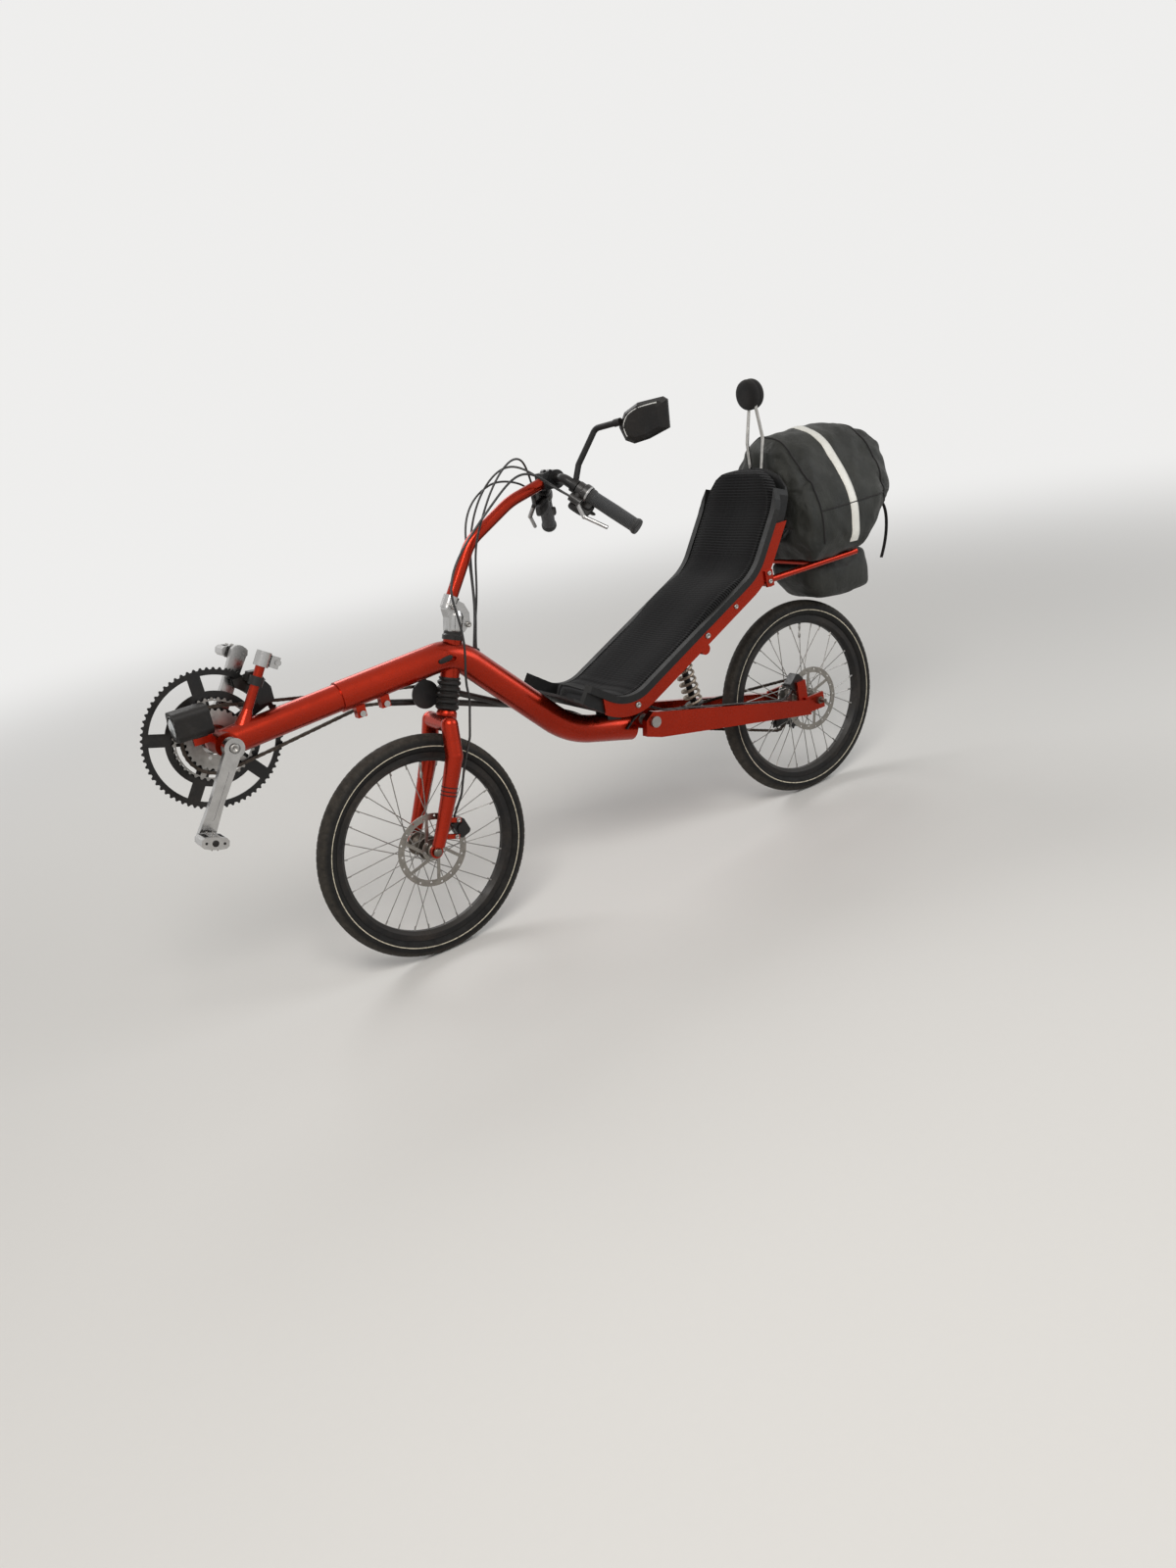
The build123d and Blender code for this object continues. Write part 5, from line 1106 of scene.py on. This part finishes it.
def creased(piece, depth, middle):
    """Moves points along their normals by slanted waves whose phase wanders, more towards both ends."""
    points, normals = read_points(piece), read_points(piece, "normal")
    p = (points - middle) / mm
    wander = 0.9 * np.sin(p[:, 0] / 31.0 + 1.3) + 0.7 * np.sin(p[:, 2] / 43.0 - p[:, 1] / 57.0)
    waves = sum(share * np.sin(p @ np.array(way) + wander * roam + start)
                for way, share, roam, start in crease_waves)
    waves /= sum(share for _, share, _, _ in crease_waves)
    ends = 0.35 + 0.65 * ease(np.abs(p[:, 0]), 60.0, 150.0)
    write_points(piece, points + normals * (power(waves, 1.35) * ends * depth)[:, None])


def cloth_piece(name, grid, x, height, voxel, pressure, cap, crease):
    """Soft piece of coated cloth: a grid that swells, is subdivided once and gets its creases."""
    piece = surface(name, grid)
    cloth_swell(piece, voxel, pressure, cap)
    smooth = piece.modifiers.new("smooth", "SUBSURF")
    smooth.levels = smooth.render_levels = 1
    apply_modifiers(piece)
    creased(piece, crease, at(x, 0, bag_floor + height))
    piece.data.polygons.foreach_set("use_smooth", [True] * len(piece.data.polygons))
    return piece


def on_bag(bag, x, angles, lift):
    """Places on the bag's surface in the plane x, at angles in degrees about its middle, a lift off it."""
    hub = Vector(at(x, 0, bag_floor + trim_middle))
    found = []
    for angle in np.radians(angles):
        hit, place, normal, _ = bag.ray_cast(hub, Vector((0, math.cos(angle), math.sin(angle))))
        if not hit:
            raise RuntimeError("the bag has no surface where its trim goes")
        found.append(place + normal * lift if normal.dot(place - hub) > 0 else place - normal * lift)
    return np.array(found)


class RECUMBENT_OT_bag(bpy.types.Operator):
    """Make the bag behind the seat, its pale stripe and its piping"""
    bl_idname = "recumbent.bag"
    bl_label = "Bag"

    def execute(self, context):
        bag = cloth_piece("bag_cloth", bag_grid(), bag_mid_x, *bag_swell)
        dressed(bag, "root", "bag_cloth", "bag_fabric", "bag")
        context.view_layer.update()
        half = context.scene.recumbent_soft.stripe / 2 / mm
        over = np.linspace(*stripe_arc, 140)
        rows = [on_bag(bag, bag_mid_x + part * half, over, lift) for part, lift in stripe_section]
        fitted("bag_stripe", np.stack(rows, axis=1), "root", "stripe_tape", "bag_fabric")
        around = np.linspace(*piping_arc, 120)
        piping = [pipe(on_bag(bag, bag_mid_x + x, around, 0.0006), piping_radius, 8, (1, 0, 0))
                  for x in piping_rings]
        for angle in (0, 180):
            seam = [on_bag(bag, bag_mid_x + x, [angle], 0.0004)[0] for x in np.linspace(*seam_span, 70)]
            piping.append(pipe(np.array(seam), seam_radius, 8, (0, 0, 1)))
        fitted("bag_piping", piping, "root", "strap_web", "bag_fabric")
        return {"FINISHED"}


class RECUMBENT_OT_pouch(bpy.types.Operator):
    """Make the pouch under the bag's tail"""
    bl_idname = "recumbent.pouch"
    bl_label = "Pouch"

    def execute(self, context):
        pouch = cloth_piece("pouch_cloth", pouch_grid(), bag_mid_x - 20.0, *pouch_swell)
        dressed(pouch, "root", "bag_cloth", "bag_fabric", "bag_flap")
        return {"FINISHED"}


# Straps on the bag: width in millimetres, and the places that each passes
strap_thickness = 1.8
front_strap = [(-984, 96, 692), (-1002, 96, 690), (-1030, 97, 676), (-1052, 97, 684), (-1072, 97, 700)]
tail_strap = [(-1180, 62, 600), (-1214, 62, 589), (-1250, 62, 592), (-1286, 62, 640), (-1300, 62, 676)]
hanging_strap = [(-1338, 100, 712), (-1350, 100, 694), (-1366, 99, 672), (-1370, 98, 640), (-1362, 98, 600),
                 (-1346, 99, 566), (-1334, 100, 548)]
strap_routes = [(18.0, front_strap, 1), (18.0, front_strap, -1), (9.0, hanging_strap, 1),
                (14.0, tail_strap, 1), (14.0, tail_strap, -1)]
buckle_place = (-1028, 97, 681)


def strap_grid(width, route, side):
    """Flat strap on one side: four edge lines at half its width and thickness from a smooth line."""
    line = soft_line(at(*np.transpose(route * np.array([1, side, 1]))), 60)
    across = np.array([0.0, 1, 0])
    out = np.cross(unit(np.gradient(line, axis=0)), across)
    half, thick = width / 2 * mm, strap_thickness / 2 * mm
    corners = [(-1, -1), (1, -1), (1, 1), (-1, 1), (-1, -1)]
    return capped(line, np.stack([line + across * half * a + out * thick * b for a, b in corners], axis=1))


class RECUMBENT_OT_straps(bpy.types.Operator):
    """Lay the bag's straps and put a buckle on the two front ones"""
    bl_idname = "recumbent.straps"
    bl_label = "Straps"

    def execute(self, context):
        straps = [strap_grid(*row) for row in strap_routes]
        fitted("bag_straps", straps, "root", "strap_web", "bag_fabric", smooth=False)
        x, y, z = buckle_place
        buckles = [rounded_block(at(x, side * y, z), (30, 28, 9), (0.86, 0, -0.51)) for side in (1, -1)]
        fitted("bag_buckles", buckles, "root", "black_moulding", "black_plastic")
        return {"FINISHED"}


# Chain

chain_y, slack_y = -40.0, -54.0
chain_pitch = 12.7
plate_end, plate_waist, plate_depth = 3.9, 0.9, 1.0
# Inner faces of the wide and the narrow plates, by turns, from the chain's middle
plate_places = (2.15, 1.1)
rivet = [(0.0, -3.9), (2.0, -3.9), (2.0, -3.1), (3.6, -3.1), (3.6, 3.1), (2.0, 3.1), (2.0, 3.9), (0.0, 3.9)]
# Circles that the chain bears on, in its order: x, z, radius at the chain's middle, turn
chain_circles = [
    (35.0, 548.5, 19.5, -1), (crank_x, crank_z, 66.0, 1), (-97.0, 552.0, 19.5, 1), (-545.0, 355.0, 19.5, -1),
    (-1091.0, 245.0, 38.5, 1), (-1096.0, 172.0, 25.5, -1), (-1043.0, 188.0, 25.5, 1),
    (-545.0, 355.0, 19.5, 1),
]
slack_route = [(-533.0, 339.1), (-500.0, 362.0), (-452.0, 395.0), (-358.0, 444.0), (-113.0, 530.0),
               (-15.0, 558.0)]
slack_end = (35.0, -52.0, 568.0)
# The slack run leaves and comes back to the chain's own plane over this length
slack_lead = 100.0


def chain_line():
    """Closed line of the chain's middle: tangents between its circles, arcs round them, and the slack run.

    A tangent leaves at the angle of the line between two centres, turned by the arc sine of the
    difference of the signed radii over their distance.
    """
    contacts = []
    for (x0, z0, r0, t0), (x1, z1, r1, t1) in zip(chain_circles[:-1], chain_circles[1:]):
        way = math.atan2(z1 - z0, x1 - x0) + math.asin((t0 * r0 - t1 * r1) / math.hypot(x1 - x0, z1 - z0))
        side = np.array([math.sin(way), -math.cos(way)])
        contacts.append((np.array([x0, z0]) + t0 * r0 * side, np.array([x1, z1]) + t1 * r1 * side))
    leave, low = contacts[-1]
    first, ring_low = contacts[0]
    out = leave + slack_lead * unit(low - leave)
    back = ring_low + slack_lead * unit(first - ring_low)
    flat = []
    for (_, end), (x, z, r, turn), (after, _) in zip(contacts[:-1], chain_circles[1:-1], contacts[1:]):
        a0, a1 = (math.atan2(p[1] - z, p[0] - x) for p in (end, after))
        swing = a0 + np.linspace(0, (a1 - a0) * turn % (2 * math.pi) * turn, 60)
        flat += [(x + r * math.cos(a), chain_y, z + r * math.sin(a)) for a in swing]
    slack = [(out[0], chain_y, out[1]), (low[0], slack_y, low[1])]
    slack += [(x, slack_y, z) for x, z in slack_route]
    slack += [slack_end, (back[0], chain_y, back[1])]
    return np.array(flat + slack + flat[:1])


def chain_grids(pins):
    """Chain: two waisted plates from each pin to the next, wide and narrow by turns, and a rivet on each pin.

    A plate's outline is two circles about its pins, drawn in between them by the cosine of the
    distance from its middle. It is drawn as a narrow closed grid across its thickness.
    """
    start, end = pins[:-1], pins[1:]
    along = unit(end - start)
    up = unit(np.cross(along, [0.0, 1.0, 0.0]))
    side = np.cross(up, along)
    angle = np.linspace(0, 2 * math.pi, 17)
    wide = np.cos(angle)
    outline_x = wide * plate_end + np.sign(wide) * chain_pitch / 2 * (np.abs(wide) > 0.02)
    outline_z = np.sin(angle) * (plate_end - plate_waist * (1 - np.abs(wide)) ** 2)
    size = np.array([0.0, 1.0, 1.0, 0.0])[:, None]
    depth = np.array([0.0, 0.0, 1.0, 1.0]) * plate_depth
    face = np.where(np.arange(len(start)) % 2 == 0, *plate_places)[:, None] + depth
    flat = (start + end)[:, None, None] / 2 + along[:, None, None] * (size * outline_x)[..., None]
    flat = flat + up[:, None, None] * (size * outline_z)[..., None]
    grids = []
    for mirror in (1, -1):
        plates = flat + side[:, None, None] * (mirror * face)[..., None, None]
        grids += list(at(*np.moveaxis(plates, -1, 0)))
    return grids + [turned(rivet, at(*pin), across, 8) for pin, across in zip(start, side)]


class RECUMBENT_OT_chain(bpy.types.Operator):
    """Make the chain's links and rollers along its whole run"""
    bl_idname = "recumbent.chain"
    bl_label = "Chain"

    def execute(self, context):
        line = chain_line()
        links = 2 * round(length_along(line)[-1] / chain_pitch / 2)
        grids = chain_grids(read_evenly(line, links + 1))
        fitted("chain_links", grids, "root", "oiled_chain", "chain_steel", "chain", smooth=False)
        return {"FINISHED"}


# Cables

cable_routes = {
    "shift_cable_right": [
        (-481, -72, 889), (-462, -42, 916), (-440, -14, 960), (-418, 6, 985), (-385, 20, 988),
        (-345, 30, 965), (-312, 32, 930), (-285, 30, 886), (-262, 27, 845), (-252, 22, 800),
        (-250, 10, 750), (-243, -2, 700), (-228, -6, 650), (-220, -7, 615),
    ],
    "rear_hose_right": [
        (-481, -72, 889), (-455, -62, 925), (-395, -60, 944), (-360, -60, 939), (-323, -60, 920),
        (-296, -58, 890), (-278, -50, 848), (-272, -40, 810), (-262, -30, 760), (-245, -12, 700),
        (-232, -12, 655), (-221, -13, 614),
    ],
    "shift_cable_left": [
        (-481, 72, 889), (-452, 48, 918), (-410, 14, 972), (-372, -8, 975), (-330, -22, 940),
        (-298, -27, 893), (-276, -26, 842), (-262, -20, 790), (-250, -10, 735), (-238, 2, 690),
        (-226, 3, 650), (-220, 2, 615),
    ],
}
front_hose_route = [
    (-481, 72, 889), (-462, 50, 912), (-428, 38, 948), (-390, 38, 958), (-350, 40, 940), (-310, 40, 910),
    (-265, 40, 876), (-225, 40, 842), (-188, 44, 805), (-166, 50, 762), on_steer(30, 57, 512),
    on_steer(12, 61, 466), on_steer(2, 61, 432), on_steer(-4, 58, 396), on_steer(-12, 54, 352),
    on_steer(-27.5, 46, 330), on_steer(-30, 46, 300),
]
# Places on the cables' route where they would bend as the steering turns; nothing bends them
bend_start, bend_end = (-250, 0, 780), (-224, 0, 632)
# Grommet where a cable enters the main tube, and its direction, square to the tube
grommet = [(0, -1), (5.2, -1), (5.2, 1.5), (4.2, 4.0), (2.4, 5.5), (0, 5.5)]
grommet_way = np.array([-0.727, 0, 0.686])
grommet_lift = 3.5


class RECUMBENT_OT_cables(bpy.types.Operator):
    """Run the cables and hoses from the bar to the main tube and the fork"""
    bl_idname = "recumbent.cables"
    bl_label = "Cables"

    def execute(self, context):
        radius = context.scene.recumbent_fittings.cable / 2
        for name, route in cable_routes.items():
            grid = pipe(soft_line(at(*np.transpose(route)), 170), radius)
            cable = fitted(name, grid, None, "cable_cover", "black_plastic")
            tuple(at(*bend_start))
            tuple(at(*bend_end))
            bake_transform(cable)
            place = at(*route[-1]) + grommet_lift * mm * grommet_way
            grid = turned(grommet, place, grommet_way, 20)
            fitted(name + "_grommet", grid, "root", "black_moulding", "black_plastic")
        grid = pipe(soft_line(at(*np.transpose(front_hose_route)), 220), radius * 1.1)
        fitted("front_hose_run", grid, "steering", "cable_cover", "black_plastic")
        return {"FINISHED"}


# Small fittings

screw = np.array([(0, 2.4), (3.0, 2.4), (3.3, 4.2), (5.8, 4.0), (7.0, 1.8), (7.0, 0), (0, 0)])
# Screw heads: body, part of the full size, side that they face, and the places of their bases
screw_places = [
    ("root", 1.0, 1, [(-514, 136, 421), (-733, 136, 517)]),
    ("root", 0.8, 1, [(-826, 136, 560), (-933, 141, 611), (-933, 141, 592)]),
    ("root", 1.0, -1, [(-514, -136, 421), (-733, -136, 517)]),
    ("root", 0.8, -1, [(-826, -136, 560), (-933, -141, 611), (-933, -141, 592)]),
    ("crank", 1.35, 1, [(crank_x, 73, crank_z)]),
    ("crank", 1.35, -1, [(crank_x, -73, crank_z)]),
    ("steering", 0.75, 1, [on_steer(-19, 57, 32), on_steer(-19, 57, 68)]),
    ("steering", 0.9, 1, [on_steer(-25, 18, 480), on_steer(14, 19, 514)]),
]
# Rotor screws: their circle, their size and how far left each rotor's face is
rotor_circle, rotor_screw = 19.5, 0.47
rotor_faces = {"front_wheel": 36.9, "rear_wheel": 46.9}
# Bands round the left fork leg, up the steering axis, and the leg's lean to that axis
leg_band = [(16.2, -1.1), (17.7, -1.1), (18.0, 0), (17.7, 1.1), (16.2, 1.1), (16.2, -1.1)]
leg_band_heights = (122.0, 130.0, 139.0)
leg_fore, leg_out, leg_height, leg_lean = 9.6, 58.0, 130.0, 0.0745
# Port where a hose enters the main tube
port_place, port_size, port_way = (-131.9, 31.0, 627.1), (34, 7, 12), (0.95, 0, -0.12)
axle_cap = [(0, 5.0), (4.0, 4.8), (8.0, 3.6), (9.6, 1.4), (10.0, 0), (0, 0)]
axle_cap_y = 61.5
pedal_cap = np.array([(0, 1.2), (5.2, 1.2), (6.4, 0.4), (6.4, -0.6), (0, -0.6)])
pedal_pin = [(0, 2.2), (1.0, 2.2), (1.5, 1.6), (1.5, -0.5), (0, -0.5)]
# On a pedal: its outer face, the side screws' size and places, and the pins' places on the treads
pedal_face = 22
side_screw, side_screws = 0.42, (-17, 17)
pin_height, pins_along, pins_out = 12.0, (-5.5, 5.5), (-19, -9, 9, 19)


def on_pedal(side, a, y, c):
    """Place on a pedal's block: along its tread, out from its middle and up from it, before its tilt."""
    swing = crank_swing + (0 if side > 0 else math.pi)
    x = crank_x + crank_length * math.cos(swing) + a * math.cos(pedal_tilt) - c * math.sin(pedal_tilt)
    z = crank_z + crank_length * math.sin(swing) + a * math.sin(pedal_tilt) + c * math.cos(pedal_tilt)
    return at(x, side * (pedal_reach + y), z)


class RECUMBENT_OT_fasteners(bpy.types.Operator):
    """Put the screw heads, the fork's bands, the cable port and the axle caps in their places"""
    bl_idname = "recumbent.fasteners"
    bl_label = "Fasteners"

    def execute(self, context):
        for body in ("root", "crank", "steering"):
            heads = [turned(screw * size, at(*place), (0, side, 0), 24)
                     for owner, size, side, places in screw_places if owner == body for place in places]
            fitted(body + "_screws", heads, body, "dull_steel", "steel")
        angle = np.arange(6) * math.pi / 3
        for body, axle, _ in wheels:
            face = rotor_faces[body] + 0 * angle
            circle = [rotor_circle * np.cos(angle), face, rotor_circle * np.sin(angle)]
            heads = [turned(screw * rotor_screw, centre, (0, 1, 0), 14)
                     for centre in axle + np.stack(circle, axis=-1) * mm]
            fitted(body + "_rotor_screws", heads, body, "dull_steel", "steel")
        leg_way = steer_up - steer_fore * leg_lean
        places = [at(*on_steer(leg_fore + (leg_height - s) * leg_lean, leg_out, s)) for s in leg_band_heights]
        bands = [turned(leg_band, place, leg_way, 40) for place in places]
        fitted("leg_bands", bands, "steering", "strap_web", "black_plastic")
        port = rounded_block(at(*port_place), port_size, port_way, 0.7)
        fitted("cable_port", port, "root", "black_moulding", "black_plastic")
        caps = [turned(axle_cap, front_axle + np.array([0, side * axle_cap_y * mm, 0]), (0, side, 0), 32)
                for side in (1, -1)]
        fitted("axle_caps", caps, "steering", "hub_metal", "bare_aluminium")
        return {"FINISHED"}


class RECUMBENT_OT_pedal_fittings(bpy.types.Operator):
    """Put the bearing cap, the side screws and the grip pins on both pedals"""
    bl_idname = "recumbent.pedal_fittings"
    bl_label = "Pedal fittings"

    def execute(self, context):
        lean, upright = -math.sin(pedal_tilt), math.cos(pedal_tilt)
        for side, body in ((1, "left_pedal"), (-1, "right_pedal")):
            caps = [turned(pedal_cap, on_pedal(side, 0, pedal_face, 0), (0, side, 0), 28)]
            caps += [turned(pedal_cap * side_screw, on_pedal(side, a, pedal_face, 0), (0, side, 0), 16)
                     for a in side_screws]
            fitted(body + "_caps", caps, body, "black_moulding", "black_plastic")
            pins = [turned(pedal_pin, on_pedal(side, a, y, pin_height * up), (lean * up, 0, upright * up), 10)
                    for up in (1, -1) for a in pins_along for y in pins_out]
            fitted(body + "_pins", pins, body, "dull_steel", "steel")
        return {"FINISHED"}


# Cockpit

# Shifter pods: place along the bar, move from it, size in millimetres and squareness
shifter_pods = [(143, (10, 0, -32), (46, 28, 34), 0.5), (128, (8, 0, -20), (20, 26, 26), 0.6)]
mirror_middle = np.array([-614.0, 200.0, 1015.0])
mirror_across = unit([-0.43, 0.90, 0.0])
mirror_out = unit([0.90, 0.43, 0.0])
# Mirror's outline across and up its face, its first points also those of the painted highlight line along its
# edge
mirror_edge = [(-50, -34), (-60, -6), (-42, 22), (-8, 37), (50, 41), (63, 12), (57, -22), (18, -38)]
mirror_highlight_points, mirror_highlight_size, mirror_highlight_out = 5, (0.80, 0.78), 13.6
mirror_glass_size = 0.90
# Glass from its middle over its rim and under it: part of its size, and distance out
mirror_section = [(0.0, -0.9), (0.5, -0.8), (0.9, -0.5), (1.0, -0.1), (1.0, 0.6), (0.0, 0.6)]
lamp_place = (437, 0, 656)
lens_dome = [(0, 4.6), (6, 4.3), (12, 3.2), (17, 1.4), (20.3, -1.0), (20.3, -3.4), (0, -3.4)]
lens_bezel = [(20.4, -2.0), (20.6, 1.4), (22.4, 2.2), (24.0, 1.2), (24.2, -2.0), (20.4, -2.0)]


def on_mirror(face, size, out):
    """Places on the mirror's head: points across and up its face, scaled, and moved out from it."""
    across, rise = np.transpose(np.asarray(face) * size)[..., None]
    places = mirror_middle + across * mirror_across + rise * np.array([0, 0, 1]) + out * mirror_out
    return at(*np.transpose(places))


class RECUMBENT_OT_cockpit(bpy.types.Operator):
    """Make the shifters on the bar, the mirror's glass and the painted highlight along its edge, and the
    lamp's lens
    """
    bl_idname = "recumbent.cockpit"
    bl_label = "Cockpit fittings"

    def execute(self, context):
        pods, thumbs = [], []
        for side in (1, -1):
            way = bar_way * [1, side, 1]
            pods += [rounded_block(bar_place(side, along, fore), size, way, sharp)
                     for along, fore, size, sharp in shifter_pods]
            thumbs.append(rounded_block(bar_place(side, 124, (-4, -side * 22, -34)), (34, 16, 7), way, 0.6))
        fitted("shifters", pods, "steering", "black_moulding", "black_plastic")
        fitted("shifter_thumbs", thumbs, "steering", "guard_coat", "black_plastic")
        # Pale tube along part of the mirror's edge: a painted highlight
        route = on_mirror(mirror_edge[:mirror_highlight_points], mirror_highlight_size, mirror_highlight_out)
        trim = pipe(soft_line(route, 60), 0.0015, 8, (0, 0, 1))
        fitted("mirror_trim", trim, "steering", "pale_line", "black_plastic")
        loop = rounded_loop(np.array(mirror_edge) * mirror_glass_size, 3, 96)
        glass = np.stack([on_mirror(loop, (size, size), out) for size, out in mirror_section])
        fitted("mirror_glass_plate", glass, "steering", "mirror_glass", "bare_aluminium")
        dome, bezel = (turned(profile, at(*lamp_place), (1, 0, 0), 48) for profile in (lens_dome, lens_bezel))
        fitted("lamp_lens", dome, "root", "lamp_glass", "black_plastic")
        fitted("lamp_bezel", bezel, "root", "black_paint", "black_plastic")
        return {"FINISHED"}


# Panel and registration

groups = {
    "recumbent_finishes": RecumbentFinishes,
    "recumbent_wheels": RecumbentWheels,
    "recumbent_fittings": RecumbentFittings,
    "recumbent_soft": RecumbentSoft,
    "recumbent_stage": RecumbentStage,
}
# In the order in which they run
operators = (
    RECUMBENT_OT_stage, RECUMBENT_OT_finish_frame, RECUMBENT_OT_tyres, RECUMBENT_OT_rim_fittings,
    RECUMBENT_OT_chain, RECUMBENT_OT_cables, RECUMBENT_OT_fasteners, RECUMBENT_OT_pedal_fittings,
    RECUMBENT_OT_cockpit, RECUMBENT_OT_seat_pad, RECUMBENT_OT_headrest, RECUMBENT_OT_bag,
    RECUMBENT_OT_pouch, RECUMBENT_OT_straps,
)


class RECUMBENT_PT_panel(bpy.types.Panel):
    """Lists the pieces and their sizes"""
    bl_label = "Recumbent bicycle"
    bl_idname = "RECUMBENT_PT_panel"
    bl_space_type = "VIEW_3D"
    bl_region_type = "UI"
    bl_category = "Recumbent"

    def draw(self, context):
        for group in groups:
            settings = getattr(context.scene, group)
            box = self.layout.box()
            for name in settings.bl_rna.properties.keys():
                if name not in ("rna_type", "name"):
                    box.prop(settings, name)
        for operator in operators:
            self.layout.operator(operator.bl_idname)


classes = (*groups.values(), *operators, RECUMBENT_PT_panel)


def register():
    """Makes the pieces' operators, settings and panel known to Blender"""
    for cls in classes:
        bpy.utils.register_class(cls)
    for name, group in groups.items():
        setattr(bpy.types.Scene, name, PointerProperty(type=group))


def unregister():
    """Takes them away again"""
    for name in groups:
        delattr(bpy.types.Scene, name)
    for cls in reversed(classes):
        bpy.utils.unregister_class(cls)


def main():
    """Builds every piece in order"""
    register()
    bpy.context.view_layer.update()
    for operator in operators:
        getattr(bpy.ops.recumbent, operator.bl_idname.split(".")[1])()


if __name__ == "__main__":
    main()
